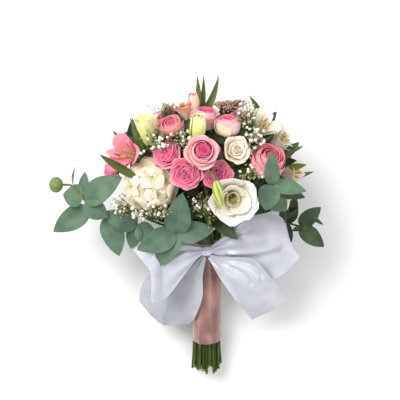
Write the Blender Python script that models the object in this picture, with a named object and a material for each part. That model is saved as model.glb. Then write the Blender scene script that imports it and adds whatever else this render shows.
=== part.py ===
"""Hand-tied bridal bouquet, lying on its back with its front to the sky.

Metres, +Z up. The handle runs along -Y and the head of flowers is at +Y. All
sizes below are in millimetres, in the bouquet's working frame, and are turned to
metres where a mesh is made. An empty then carries every piece, and puts the origin
on the surface, under the middle of the bouquet's outline.
"""

import math
import random
from collections import namedtuple

import bmesh
import bpy
import numpy as np
from mathutils import Matrix, Vector
from mathutils.bvhtree import BVHTree
from mathutils.geometry import intersect_point_line

COLLECTION = "bridal_bouquet"
SEED = 7

# Driving dimensions
MIDDLE = Vector((-14.7, -32.5, 0.0))
NECK = Vector((7.0, -43.5, 64.6))
HANDLE_END = Vector((8.0, -200.0, 18.35))
GAP = 0.35
CLEARANCE = 1.0
BLADE = 0.8

# The handle: one stem in the middle, a ring of six, a ring of twelve, and twelve
# thin stems in the hollows outside them.
STEM_RADIUS = 2.8
THIN_RADIUS = 1.4
INNER_RING = 6.0
OUTER_RING = 11.9
THIN_RING = 14.8
FLARE = 1.16
END_STAGGER = 5.0
BEYOND_WRAP = 4.0
ABOVE_NECK = 3.0
BLOOM_STEM = 2.0
BRANCH_STEM = 1.7
TWIG_RADIUS = 1.3
STEM_SIDES = 6
WRAP_LENGTH = 129.0
WRAP_RADIUS = 17.2
WRAP_WALL = 1.0
BAND = (3.5, 14.0)
SLEEVE_SIDES = 16

PINK = (0.90, 0.42, 0.52)
MAGENTA = (0.86, 0.20, 0.42)
CREAM = (0.93, 0.89, 0.78)
WHITE = (0.95, 0.94, 0.90)
LIME = (0.80, 0.82, 0.50)
STEM_GREEN = (0.24, 0.36, 0.10)
EUCALYPTUS_GREEN = (0.36, 0.49, 0.40)
SATIN_PINK = (0.72, 0.50, 0.46)
SATIN_WHITE = (0.86, 0.86, 0.90)
ROSY_MIST = (0.72, 0.58, 0.54)

AXIS = (NECK - HANDLE_END).normalized()
FRONT = Vector((1.0, 0.0, 0.0)).cross(AXIS).normalized()
SIDE = AXIS.cross(FRONT).normalized()

# One ring of petals: how many, half the angle that each spans, the curve from its
# root to its rim as four (radius, height) points, how far one edge stands inside
# the other, how round its tip is, the ring's turn, and the faces across and along.
Ring = namedtuple("Ring", "count half curve overlap rounding turn across along")

ROSE = (
    Ring(3, 70, ((2, 5), (8, 9), (8.5, 26), (6.5, 31)), 1.5, 0.06, 10, 2, 1),
    Ring(3, 72, ((2.5, 4), (14, 8), (14.5, 22), (13.0, 30)), 1.8, 0.10, 50, 2, 2),
    Ring(5, 47, ((3, 2.4), (20, 4), (19, 20), (22.5, 28)), 1.8, 0.20, 20, 2, 2),
)
ROSE_CUP = (
    Ring(3, 70, ((2, 5), (8, 9), (8, 28), (5.5, 33)), 1.5, 0.06, 10, 2, 1),
    Ring(3, 68, ((2.5, 4), (14, 8), (15, 24), (12.0, 32)), 1.8, 0.12, 70, 2, 2),
    Ring(4, 56, ((3, 2.4), (20, 4), (20, 22), (17.5, 31)), 1.8, 0.18, 20, 2, 2),
)
SPRAY_ROSE = (
    Ring(3, 68, ((2, 5), (6.5, 7), (7, 17), (5.5, 21)), 1.3, 0.05, 0, 2, 1),
    Ring(4, 57, ((3, 2.4), (15, 3), (15, 12), (17.5, 18)), 1.7, 0.16, 15, 2, 2),
)
LISIANTHUS = (
    Ring(3, 66, ((2.5, 6), (6, 10), (6.5, 20), (7.5, 26)), 1.4, 0.10, 30, 2, 1),
    Ring(3, 70, ((2.5, 4), (11, 7), (12, 22), (17.0, 29)), 1.8, 0.14, 55, 2, 2),
    Ring(5, 44, ((3, 2.4), (18, 4), (19, 24), (29.0, 28)), 1.6, 0.18, 10, 2, 2),
)
LISIANTHUS_HALF_OPEN = (
    Ring(2, 76, ((2.5, 5), (8, 12), (8, 28), (9.0, 38)), 1.4, 0.10, 30, 2, 1),
    Ring(4, 54, ((3, 2.4), (10, 8), (10.5, 28), (15.0, 41)), 1.6, 0.16, 10, 2, 2),
)
ALSTROEMERIA = (
    Ring(3, 27, ((1.8, 3), (4.4, 12), (8.6, 26), (14.6, 35)), 0.0, 0.30, 30, 2, 2),
    Ring(3, 44, ((2.6, 2.4), (6, 12), (12.8, 24), (20.0, 31.5)), 0.0, 0.26, 90, 2, 2),
)

# A bloom's form: its rings of petals, the height of its face, the radius of its
# foot, the ball that stems keep clear of, as (height, radius), and its sepals' reach.
Form = namedtuple("Form", "rings height foot clear sepals")
FORMS = {
    "rose": Form(ROSE, 32.0, 6.0, (20, 20.5), 11.0),
    "rose_cup": Form(ROSE_CUP, 33.0, 6.0, (19, 19.5), 11.0),
    "spray": Form(SPRAY_ROSE, 21.0, 5.4, (13, 15.0), 8.0),
    "lisianthus": Form(LISIANTHUS, 30.0, 6.0, (24, 23.0), 8.0),
    "half_open": Form(LISIANTHUS_HALF_OPEN, 41.0, 5.4, (24, 14.0), 7.0),
    "alstroemeria": Form(ALSTROEMERIA, 33.0, 3.8, (23, 13.0), 0.0),
}

# One flower: its form, colour, where the middle of its face is, the way that it
# faces, and its size against the form's.
Flower = namedtuple("Flower", "form colour face facing size")
FLOWERS = {
    "rose_front": Flower("rose", PINK, (3.5, 55, 186), (0.10, 0.20, 0.97), 0.88),
    "rose_crown": Flower("rose", PINK, (6, 103, 133), (0.05, 0.92, 0.39), 0.84),
    "rose_upper_right": Flower("rose_cup", PINK, (30, 92, 152), (-0.06, 0.88, 0.42), 0.72),
    "rose_right": Flower("rose_cup", PINK, (79, 51, 162), (0.26, 0.56, 0.78), 1.02),
    "rose_upper_left": Flower("rose_cup", PINK, (-35, 88, 141), (-0.24, 0.62, 0.74), 0.76),
    "rose_back_left": Flower("rose", PINK, (-52, 64, 12), (-0.30, 0.22, -0.92), 0.94),
    "rose_back_right": Flower("rose", PINK, (60, 62, 12), (0.30, 0.22, -0.92), 0.94),
    "lisianthus_front": Flower("lisianthus", WHITE, (38, -3, 171), (0.12, -0.28, 0.95), 0.98),
    "lisianthus_cream": Flower("lisianthus", CREAM, (42, 56, 160), (0.30, 0.14, 0.94), 0.56),
    "lisianthus_green": Flower("half_open", LIME, (-62, 96, 131), (-0.14, 0.92, 0.37), 0.95),
    "lisianthus_back": Flower("lisianthus", WHITE, (4, 24, 7), (0.0, -0.08, -1.0), 0.90),
    "spray_rose_middle": Flower("spray", MAGENTA, (-16, 29, 160), (-0.10, -0.14, 0.98), 1.0),
    "spray_rose_left": Flower("spray", MAGENTA, (-40, 53, 149), (-0.44, 0.20, 0.88), 0.92),
    "spray_rose_right": Flower("spray", MAGENTA, (20, 28, 158), (0.06, 0.02, 1.0), 0.90),
    "spray_rose_bud": Flower("spray", MAGENTA, (-107, 32, 105), (-0.86, -0.05, 0.50), 0.62),
    "spray_rose_top_left": Flower("spray", PINK, (-44, 104, 88), (-0.32, 0.94, -0.05), 0.95),
    "spray_rose_side_left": Flower("spray", PINK, (-98, 56, 60), (-0.88, 0.20, -0.42), 1.0),
    "spray_rose_top_right": Flower("spray", PINK, (52, 103, 88), (0.32, 0.94, -0.05), 0.95),
    "spray_rose_side_right": Flower("spray", MAGENTA, (104, 46, 58), (0.88, 0.14, -0.42), 1.0),
    "alstroemeria_pink": Flower("alstroemeria", PINK, (-89, 53, 141), (-0.50, 0.10, 0.86), 1.12),
    "alstroemeria_top": Flower("alstroemeria", PINK, (-19, 109, 118), (-0.24, 0.94, 0.20), 0.68),
    "alstroemeria_white": Flower("alstroemeria", WHITE, (74, 88, 136), (0.36, 0.52, 0.78), 0.92),
    "alstroemeria_white_edge": Flower("alstroemeria", WHITE, (99, 72, 114), (0.76, 0.46, 0.46), 0.86),
    "alstroemeria_white_low": Flower("alstroemeria", WHITE, (114, 30, 108), (0.92, -0.06, 0.38), 0.86),
}

# One ball of hydrangea: its centre, the way that it faces, its core's radius, how
# many florets of four petals cover it, and how far each reaches.
Ball = namedtuple("Ball", "centre facing core florets reach")
BALLS = {
    "hydrangea_left": Ball((-56, 16.5, 120.5), (-0.22, 0.0, 0.97), 26.2, 12, 14.7),
    "hydrangea_back": Ball((4, 86, 46), (0.0, 0.70, -0.70), 22.5, 10, 13.5),
}

# What each thick stem carries, from one cut end.
THICK_STEMS = {
    "rose_front_stem": ("rose_front",),
    "rose_crown_stem": ("rose_crown",),
    "rose_upper_right_stem": ("rose_upper_right",),
    "rose_right_stem": ("rose_right",),
    "rose_upper_left_stem": ("rose_upper_left",),
    "rose_back_left_stem": ("rose_back_left",),
    "rose_back_right_stem": ("rose_back_right",),
    "lisianthus_front_stem": ("lisianthus_front",),
    "lisianthus_cream_stem": ("lisianthus_cream",),
    "lisianthus_green_stem": ("lisianthus_green",),
    "lisianthus_back_stem": ("lisianthus_back",),
    "spray_rose_front_stem": ("spray_rose_middle", "spray_rose_left", "spray_rose_right"),
    "spray_rose_left_stem": ("spray_rose_bud", "spray_rose_side_left", "spray_rose_top_left"),
    "spray_rose_right_stem": ("spray_rose_top_right", "spray_rose_side_right"),
    "alstroemeria_left_stem": ("alstroemeria_pink",),
    "alstroemeria_top_stem": ("alstroemeria_top",),
    "alstroemeria_right_stem": (
        "alstroemeria_white", "alstroemeria_white_edge", "alstroemeria_white_low",
    ),
    "hydrangea_left_stem": ("hydrangea_left",),
    "hydrangea_back_stem": ("hydrangea_back",),
}

# The thin stems, each with the points that it goes through beyond the neck.
THIN_STEMS = {
    "eucalyptus_left": (
        (-40, -40, 86), (-72, -28.6, 94), (-105, -17, 96), (-128, -9, 97), (-132, -1, 98),
        (-146.4, 17.6, 97), (-158, 17.6, 96),
    ),
    "eucalyptus_front": ((-10, -44, 98), (-28.4, -37.5, 116)),
    "eucalyptus_right": ((52, -14, 112), (76, 6, 140), (80, 18, 158)),
    "eucalyptus_low_right": ((60, -26, 58), (100, -26, 68), (117, -31, 85)),
    "eucalyptus_back_left": ((-34, -4, 20), (-44, 24, 5), (-56, 50, 4), (-64, 65, 5)),
    "eucalyptus_back_right": ((46, -4, 20), (54, 22, 5), (66, 48, 4), (73, 63, 5)),
    "gypsophila_left": ((-32, 38, 104), (-47, 66, 124)),
    "gypsophila_low": ((-44, -18, 104), (-60, -22, 112)),
    "gypsophila_middle": ((2, -22, 108), (2, -10, 124)),
    "gypsophila_right": ((44, 30, 112), (58, 63, 132)),
    "limonium": ((22, 60, 104), (30, 92, 112)),
    "green_bud": ((0, 40, 116), (-4, 62, 142)),
}
NODDING_BUD = ((4, 34, 150), (5, 33, 168), (10, 32, 180), (17.4, 22, 182))
NODDING_BUD_TIP = (23, -11, 180)
NODDING_BUD_WIDTHS = (0.8, 5.0, 5.3, 0.7)
GREEN_BUD_TIP = (-1, 94, 163)
GREEN_BUD_WIDTHS = (1.2, 6.5, 9.0, 5.0)
POD = (-166, 17.6, 96)
POD_RADIUS = 8.5

# One leaf: its root, the point that it bends towards, its tip, its width and the
# way that its upper side faces.
Leaf = namedtuple("Leaf", "root bend tip width facing")


def straight(root, tip, width, facing=(0, 0, 1), lift=3.0):
    """A leaf with a slight arch."""
    root, tip = Vector(root), Vector(tip)
    middle = (root + tip) / 2 + Vector(facing).normalized() * lift
    return Leaf(root, middle, tip, width, facing)


LEAVES = {
    "eucalyptus_left": (
        straight((-132, -1, 98), (-88.3, 26.2, 118), 31, (-0.3, 0.2, 0.95)),
        straight((-132, -1, 98), (-105, -20, 107), 27, (-0.2, -0.2, 1)),
        straight((-134, 2, 98), (-158, 7, 96), 28, (-0.1, 0.3, 0.95)),
        straight((-132, -1, 98), (-134, 33, 84), 17, (-0.5, 0.2, 0.8)),
        straight((-128, -9, 97), (-170, -37, 90), 27, (-0.2, -0.1, 1)),
        straight((-146.4, 17.6, 97), (-144.4, 38.8, 96), 8, (-1, 0, 0.35), 1),
        straight((-105, -17, 96), (-94, -65.6, 80), 28, (-0.1, -0.3, 0.95)),
        straight((-72, -28.6, 94), (-112, -14, 103), 26, (0, -0.2, 1)),
        straight((-72, -28.6, 94), (-50, -50, 100), 24, (-0.1, -0.3, 0.95)),
        straight((-72, -28.6, 94), (-80, -57, 84), 20, (-0.4, -0.2, 0.9)),
    ),
    "eucalyptus_front": (
        straight((-28.4, -37.5, 116), (-72, -57, 112), 28, (-0.1, -0.1, 1)),
        straight((-28.4, -37.5, 116), (-47.5, -76, 104), 27, (-0.2, -0.3, 0.95)),
        straight((-28.4, -37.5, 116), (17, -33, 121), 26, (0, -0.1, 1)),
        straight((-28.4, -37.5, 116), (-19.5, 8, 148), 30, (-0.1, -0.6, 0.85)),
    ),
    "eucalyptus_right": (
        straight((80, 18, 158), (78.6, 57.4, 184), 17, (-0.1, -0.5, 0.9)),
        straight((80, 18, 158), (118.4, 9.9, 148), 17, (0.2, 0.1, 1)),
        straight((80, 18, 158), (73, -12, 148), 25, (-0.3, -0.3, 0.9)),
        straight((76, 6, 140), (98, -12, 128), 22, (0.3, -0.3, 0.9)),
    ),
    "eucalyptus_low_right": (
        straight((117, -31, 85), (140, -8, 90), 19, (-0.2, 0.2, 1)),
        straight((117, -31, 85), (144.7, -55, 78), 20, (0.2, -0.2, 1)),
        straight((100, -26, 68), (112, 4, 84), 18, (0.1, 0, 1)),
        straight((100, -26, 68), (108, -50, 64), 10, (0.1, -0.2, 1)),
    ),
    "eucalyptus_back_left": (
        straight((-44, 24, 5), (-82, 10, 16), 26, (-0.2, 0, 1)),
        straight((-64, 65, 5), (-92, 82, 16), 24, (-0.3, 0.2, 1)),
        straight((-64, 65, 5), (-48, 98, 12), 22, (0, 0.3, 1)),
        straight((-34, -4, 20), (-68, -22, 28), 24, (-0.3, -0.2, 1)),
    ),
    "eucalyptus_back_right": (
        straight((54, 22, 5), (92, 8, 16), 26, (0.2, 0, 1)),
        straight((73, 63, 5), (100, 78, 16), 24, (0.3, 0.2, 1)),
        straight((73, 63, 5), (58, 98, 12), 22, (0, 0.3, 1)),
        straight((46, -4, 20), (78, -24, 28), 24, (0.3, -0.2, 1)),
    ),
    "alstroemeria_left_stem": (
        Leaf((-68, 48, 104), (-64, 52, 130), (-83.5, 89, 126), 8, (-0.3, -0.2, 0.9)),
        Leaf((-68, 48, 98), (-86, 60, 104), (-100, 80, 104), 8, (-0.3, 0.1, 0.9)),
        Leaf((-68, 44, 100), (-70, 22, 152), (-111, 50, 156), 9, (-0.1, -0.2, 1)),
    ),
    "alstroemeria_top_stem": (
        Leaf((-6, 84, 100), (2, 100, 92), (-3.4, 143, 106), 8, (0, -0.2, 1)),
        Leaf((-6, 84, 98), (6, 100, 88), (4, 144, 98), 7, (0, -0.2, 1)),
        Leaf((-6, 84, 100), (14, 104, 92), (21.6, 143, 106), 8, (0.1, -0.2, 1)),
    ),
    "alstroemeria_right_stem": (
        Leaf((66, 66, 108), (76, 96, 110), (55.6, 119, 118), 8, (-0.2, 0.3, 0.9)),
        Leaf((66, 66, 108), (104, 50, 92), (128, 65, 92), 8, (0.2, 0.1, 1)),
        Leaf((84, 30, 96), (110, 24, 92), (133, 33, 100), 7, (0.1, 0, 1)),
        Leaf((84, 30, 96), (100, 40, 112), (121, 41, 114), 7, (0, -0.2, 1)),
    ),
}

# The leaf of each back spray that lies flat on the surface: root, tip and width.
RESTING = {
    "eucalyptus_back_left": ((-56, 50, 4), (-97, 58, 0), 27),
    "eucalyptus_back_right": ((66, 48, 4), (107, 56, 0), 27),
}

# Clusters of tiny florets at the end of a thin stem: centre, spread and count.
CLUSTERS = {
    "gypsophila_left": (((-45, 68, 150), (16, 18, 8), 5),),
    "gypsophila_low": (((-60, -10, 142), (16, 10, 8), 3), ((-82, -4, 124), (12, 12, 8), 3)),
    "gypsophila_middle": (((4, -4, 144), (16, 12, 8), 5),),
    "gypsophila_right": (((62, 62, 160), (14, 18, 8), 3), ((50, 98, 146), (14, 10, 8), 3)),
    "limonium": (((38, 112, 128), (14, 8, 8), 5),),
}
FLORET_RADIUS = {"limonium": 2.6}
GYPSOPHILA_FLORET = 3.2
BRANCH_RADIUS = 0.75
MOST_DRAWS = 400


def clear_scene():
    for obj in list(bpy.data.objects):
        bpy.data.objects.remove(obj, do_unlink=True)


def paint(name, colour, roughness=0.55):
    """A plain material with this colour."""
    made = bpy.data.materials.get(name) or bpy.data.materials.new(name)
    made.use_nodes = True
    shader = made.node_tree.nodes["Principled BSDF"]
    shader.inputs["Base Color"].default_value = (*colour, 1.0)
    shader.inputs["Roughness"].default_value = roughness
    shader.inputs["Metallic"].default_value = 0.0
    return made


def linked(name, mesh):
    obj = bpy.data.objects.new(name, mesh)
    bpy.data.collections[COLLECTION].objects.link(obj)
    return obj


def carry_all():
    """Hangs every piece on one empty, which puts the bouquet's middle at the origin."""
    pieces = list(bpy.data.collections[COLLECTION].objects)
    bouquet = linked("bouquet", None)
    bouquet.location = -MIDDLE * 0.001
    for piece in pieces:
        piece.parent = bouquet


def object_from(bm, name="piece"):
    """The bmesh, in millimetres, as an object in metres with its faces outwards."""
    bmesh.ops.recalc_face_normals(bm, faces=bm.faces[:])
    bmesh.ops.scale(bm, vec=(0.001, 0.001, 0.001), verts=bm.verts[:])
    mesh = bpy.data.meshes.new(name)
    bm.to_mesh(mesh)
    bm.free()
    return linked(name, mesh)


def placing(origin, facing, turn=0.0):
    """The matrix, in millimetres, that puts a local +Z along facing at origin."""
    spin = Vector(facing).normalized().to_track_quat("Z", "Y").to_matrix().to_4x4()
    return Matrix.Translation(Vector(origin)) @ spin @ Matrix.Rotation(turn, 4, "Z")


def evaluated_mesh(obj):
    bpy.context.view_layer.update()
    graph = bpy.context.evaluated_depsgraph_get()
    return bpy.data.meshes.new_from_object(obj.evaluated_get(graph))


def fuse(name, pieces, material):
    """Joins closed pieces into one solid named name, and removes them."""
    first, others = pieces[0], pieces[1:]
    if others:
        helper = bpy.data.collections.new("to_join")
        bpy.context.scene.collection.children.link(helper)
        for piece in others:
            bpy.data.collections[COLLECTION].objects.unlink(piece)
            helper.objects.link(piece)
        union = first.modifiers.new("union", "BOOLEAN")
        union.operation = "UNION"
        union.operand_type = "COLLECTION"
        union.collection = helper
    mesh = evaluated_mesh(first)
    for piece in pieces:
        bpy.data.objects.remove(piece, do_unlink=True)
    if others:
        bpy.data.collections.remove(helper)
    mesh.name = name
    mesh.materials.clear()
    mesh.materials.append(material)
    return linked(name, mesh)


# Room: what each node takes up, so that leaves and florets keep clear of it

TAKEN = {}


def millimetre_bmesh(obj):
    bm = bmesh.new()
    bm.from_mesh(obj.data)
    bmesh.ops.transform(bm, matrix=obj.matrix_basis, verts=bm.verts[:])
    bmesh.ops.scale(bm, vec=(1000, 1000, 1000), verts=bm.verts[:])
    return bm


def claim(name, obj):
    """Notes the room that a piece of the node named name takes up."""
    bm = millimetre_bmesh(obj)
    TAKEN.setdefault(name, []).append(BVHTree.FromBMesh(bm))
    bm.free()


def is_clear(name, obj):
    """Whether a piece of the node named name keeps clear of every other node,
    and stays above the surface that the bouquet lies on."""
    bm = millimetre_bmesh(obj)
    bm.normal_update()
    lowest = min(vert.co.z for vert in bm.verts)
    for vert in bm.verts:
        vert.co += vert.normal * GAP
    tree = BVHTree.FromBMesh(bm)
    bm.free()
    others = [trees for node, trees in TAKEN.items() if node != name]
    return lowest > CLEARANCE and not any(tree.overlap(other) for trees in others for other in trees)


# Petals and blooms


def bezier(points, t):
    """The point at t of the cubic curve with these four control points."""
    weights = ((1 - t) ** 3, 3 * (1 - t) ** 2 * t, 3 * (1 - t) * t * t, t**3)
    return [sum(w * p[i] for w, p in zip(weights, points)) for i in range(len(points[0]))]


def shell(across, along, place, thickness=BLADE):
    """A thin closed blade: a grid whose points (s, t), s from -1 to 1 and t from
    0 to 1, are moved to place(s, t), and which is then given a thickness. It
    narrows to a point at its root."""
    bm = bmesh.new()
    bmesh.ops.create_grid(bm, x_segments=across, y_segments=along, size=1.0)
    for vert in bm.verts:
        vert.co = place(vert.co.x, (vert.co.y + 1) / 2)
    bmesh.ops.remove_doubles(bm, verts=bm.verts[:], dist=0.05)
    bmesh.ops.triangulate(bm, faces=bm.faces[:])
    bmesh.ops.solidify(bm, geom=bm.faces[:], thickness=thickness)
    root = place(0, 0)
    ends = [vert for vert in bm.verts if (vert.co - root).length < 1.5 * BLADE]
    bmesh.ops.pointmerge(bm, verts=ends, merge_co=root)
    return bm


def petal(ring, number, size):
    """One petal of a ring, standing round the flower's axis on a narrow claw. One
    edge stands outside its neighbour and the other inside, as they overlap."""
    turn = math.radians(ring.turn + 360 * number / ring.count)
    half = math.radians(ring.half)

    def place(s, t):
        if t == 0:
            s = 0
        reach = t * (1 - ring.rounding * s * s)
        radius, height = bezier(ring.curve, reach)
        ahead_radius, ahead_height = bezier(ring.curve, reach + 0.01)
        slope = Vector((ahead_radius - radius, ahead_height - height)).normalized()
        angle = turn + s * half * (0.55 + 0.45 * math.sin(math.pi * reach * 0.75))
        aside = ring.overlap * s * min(size + 0.1, 1)
        radius = radius * size + aside * slope.y
        height = height * size - aside * slope.x
        return Vector((radius * math.cos(angle), radius * math.sin(angle), height))

    return object_from(shell(ring.across, ring.along, place))


def foot(radius, height, sides=5):
    """The solid foot inside a bloom, which its petals grow from."""
    bm = bmesh.new()
    bmesh.ops.create_cone(
        bm, cap_ends=True, cap_tris=True, segments=sides, radius1=radius,
        radius2=radius * 0.5, depth=height,
    )
    bmesh.ops.translate(bm, vec=(0, 0, height / 2), verts=bm.verts[:])
    return object_from(bm)


def flower_base(name):
    """Where the stem of a flower meets it, and the way that the flower faces."""
    if name in BALLS:
        ball = BALLS[name]
        outward = Vector(ball.facing).normalized()
        return Vector(ball.centre) - outward * ball.core * 0.96, outward
    flower = FLOWERS[name]
    outward = Vector(flower.facing).normalized()
    return Vector(flower.face) - outward * FORMS[flower.form].height * flower.size, outward


def bloom(name):
    """All the petals of a flower, fused to the foot that carries them. Its object
    stands on its own base and is turned the way that the flower faces."""
    flower = FLOWERS[name]
    form = FORMS[flower.form]
    pieces = [foot(form.foot * flower.size, form.height * flower.size * 0.42)]
    for ring in form.rings:
        for number in range(ring.count):
            pieces.append(petal(ring, number, flower.size))
    made = fuse(name, pieces, paint("petals_" + name, flower.colour))
    base, outward = flower_base(name)
    made.matrix_basis = placing(base * 0.001, outward)
    return made


def sphere_points(count, facing, spread):
    """Directions on a golden spiral round facing, out to spread degrees from it."""
    lowest = math.cos(math.radians(spread))
    spin = placing((0, 0, 0), facing)
    found = []
    for number in range(count):
        z = 1 - (1 - lowest) * (number + 0.5) / count
        angle = number * math.pi * (3 - math.sqrt(5))
        flat = math.sqrt(1 - z * z)
        found.append(spin @ Vector((flat * math.cos(angle), flat * math.sin(angle), z)))
    return found


def star(points, reach, notch, tip_height, notch_height, below, where):
    """A dished star with this many points, which comes to a point beneath."""
    bm = bmesh.new()
    bmesh.ops.create_cone(
        bm, cap_ends=True, cap_tris=True, segments=2 * points, radius1=0, radius2=1, depth=1
    )
    bmesh.ops.remove_doubles(bm, verts=bm.verts[:], dist=1e-4)
    for vert in bm.verts:
        angle = math.atan2(vert.co.y, vert.co.x)
        on_tip = round(angle * points / math.pi) % 2 == 0
        if vert.co.to_2d().length > 0.5:
            vert.co = vert.co.to_2d().to_3d() * (reach if on_tip else notch)
            vert.co.z = tip_height if on_tip else notch_height
        else:
            vert.co = Vector((0, 0, 0 if vert.co.z > 0 else -below))
    bmesh.ops.transform(bm, matrix=where, verts=bm.verts[:])
    return object_from(bm)


def ball_of_florets(name):
    """A hydrangea head: florets of four petals in a close dome round a core."""
    ball = BALLS[name]
    bm = bmesh.new()
    bmesh.ops.create_icosphere(bm, subdivisions=2, radius=ball.core)
    bmesh.ops.translate(bm, vec=ball.centre, verts=bm.verts[:])
    pieces = [object_from(bm)]
    for number, way in enumerate(sphere_points(ball.florets, ball.facing, 115)):
        where = placing(Vector(ball.centre) + way * (ball.core + 1.0), way, 0.7 * number)
        pieces.append(star(4, ball.reach, ball.reach * 0.62, 3.0, 4.0, 4.0, where))
    return fuse(name, pieces, paint("petals_" + name, CREAM))


# Stems


def tube(points, radii, sides=STEM_SIDES):
    """A round rod through these points, as a closed mesh."""
    curve = bpy.data.curves.new("rod", "CURVE")
    curve.dimensions = "3D"
    curve.bevel_depth = 0.001
    curve.bevel_resolution = (sides - 4) // 2
    curve.use_fill_caps = True
    spline = curve.splines.new("POLY")
    spline.points.add(len(points) - 1)
    for point, place, radius in zip(spline.points, points, radii):
        point.co = (*(Vector(place) * 0.001), 1.0)
        point.radius = radius
    rod = linked("rod", curve)
    mesh = evaluated_mesh(rod)
    bpy.data.objects.remove(rod, do_unlink=True)
    bm = bmesh.new()
    bm.from_mesh(mesh)
    bpy.data.meshes.remove(mesh)
    bmesh.ops.remove_doubles(bm, verts=bm.verts[:], dist=1e-6)
    bmesh.ops.triangulate(bm, faces=bm.faces[:])
    bmesh.ops.scale(bm, vec=(1000, 1000, 1000), verts=bm.verts[:])
    return object_from(bm)


def slot_place(slot, down, spread=1.0):
    """A point of the bundle: slot is (radius, angle), down is the distance below
    the neck along the handle."""
    radius, angle = slot
    across = SIDE * math.cos(angle) + FRONT * math.sin(angle)
    return NECK - AXIS * down + across * radius * spread


def heading(target):
    """How far a target lies off the handle's axis, and its angle round the axis."""
    away = Vector(target) - (NECK - AXIS * 40)
    ahead = away.dot(AXIS)
    across, front = away.dot(SIDE) / ahead, away.dot(FRONT) / ahead
    return math.hypot(across, front), math.atan2(front, across)


def spread_over(names, targets, slots):
    """Gives each stem of one ring the slot nearest to its own angle, keeping the
    stems' order round the ring."""
    ordered = sorted(names, key=lambda name: heading(targets[name])[1])

    def strain(shift):
        total = 0.0
        for number, name in enumerate(ordered):
            slot = slots[(number + shift) % len(slots)]
            off = heading(targets[name])[1] - slot[1]
            total += abs(math.remainder(off, 2 * math.pi)) ** 2
        return total

    best = min(range(len(slots)), key=strain)
    return {name: slots[(n + best) % len(slots)] for n, name in enumerate(ordered)}


def ring_of_slots(count, radius, turn):
    return [(radius, turn + 2 * math.pi * number / count) for number in range(count)]


def middle_of(points):
    return sum((Vector(p) for p in points), Vector()) / len(points)


def choose_slots():
    """The slot of every stem: those that turn off most lie outermost."""
    targets = {
        stem: middle_of([flower_base(name)[0] for name in carried])
        for stem, carried in THICK_STEMS.items()
    }
    ordered = sorted(targets, key=lambda stem: heading(targets[stem])[0])
    chosen = {ordered[0]: (0.0, 0.0)}
    chosen.update(spread_over(ordered[1:7], targets, ring_of_slots(6, INNER_RING, 0.0)))
    chosen.update(
        spread_over(ordered[7:], targets, ring_of_slots(12, OUTER_RING, math.radians(15)))
    )
    thin = {stem: via[0] for stem, via in THIN_STEMS.items()}
    chosen.update(spread_over(list(thin), thin, ring_of_slots(12, THIN_RING, 0.0)))
    return chosen


# One run of a stem: its node, its points, which of them may move, and its radii.
Run = namedtuple("Run", "node points free radii")


def lead_in(slot, number):
    """The part of a stem from its cut end, through the wrap, to the neck."""
    cut = (NECK - HANDLE_END).length + END_STAGGER * math.sin(2.4 * number)
    return [
        slot_place(slot, cut, FLARE),
        slot_place(slot, WRAP_LENGTH + BEYOND_WRAP),
        slot_place(slot, -ABOVE_NECK),
    ]


def course(start, leaving, end, arriving, count):
    """Points between start and end on a cubic curve that leaves and arrives
    along the two given directions."""
    span = (end - start).length
    points = (start, start + leaving * span * 0.35, end - arriving * span * 0.3, end)
    return [Vector(bezier(points, (n + 1) / (count + 1))) for n in range(count)]


def stem_end(name):
    """Where the calyx of a flower starts, and the way that the flower faces."""
    base, facing = flower_base(name)
    return base - facing * GAP, facing


def has_sepals(name):
    return name in FLOWERS and FORMS[FLOWERS[name].form].sepals > 0


def calyx(name):
    """The last points of a stem, and their radii, where it widens under a bloom."""
    top, facing = stem_end(name)
    size = FLOWERS[name].size if name in FLOWERS else 1.0
    last = top - facing * 1.2 if has_sepals(name) else top
    points = [top - facing * 12 * size, top - facing * 6 * size, last]
    return points, [BLOOM_STEM, BLOOM_STEM, 4.0 * size]


def single_run(stem, name, places, leaving):
    """A thick stem that carries one bloom."""
    head, widening = calyx(name)
    bends = course(places[-1], leaving, head[0], stem_end(name)[1], 3)
    radii = [STEM_RADIUS] * 3 + list(np.linspace(STEM_RADIUS, BLOOM_STEM, 5)[1:4]) + widening
    free = [False] * 3 + [True] * 3 + [False] * 3
    return Run(stem, places + bends + head, free, radii)


def forked_runs(stem, carried, places, leaving):
    """A thick stem that forks, with a branch to each of its blooms."""
    heads = [calyx(name) for name in carried]
    fork = places[-1].lerp(middle_of([head[0][0] for head in heads]), 0.72)
    runs = []
    for number, (name, (head, widening)) in enumerate(zip(carried, heads)):
        radii = [BRANCH_STEM] * 2 + [min(BRANCH_STEM, wide) for wide in widening[:2]] + widening[2:]
        bends = course(fork, leaving, head[0], stem_end(name)[1], 1)
        run = Run(stem, [fork] + bends + head, [False, True, False, False, False], radii)
        if number == 0:
            lower = course(places[-1], leaving, fork, leaving, 2)
            run = Run(
                stem, places + lower + run.points, [False] * 3 + [True] * 2 + run.free,
                [STEM_RADIUS] * 3 + [2.6, 2.4] + [BLOOM_STEM] + run.radii[1:],
            )
        runs.append(run)
    return runs


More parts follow.
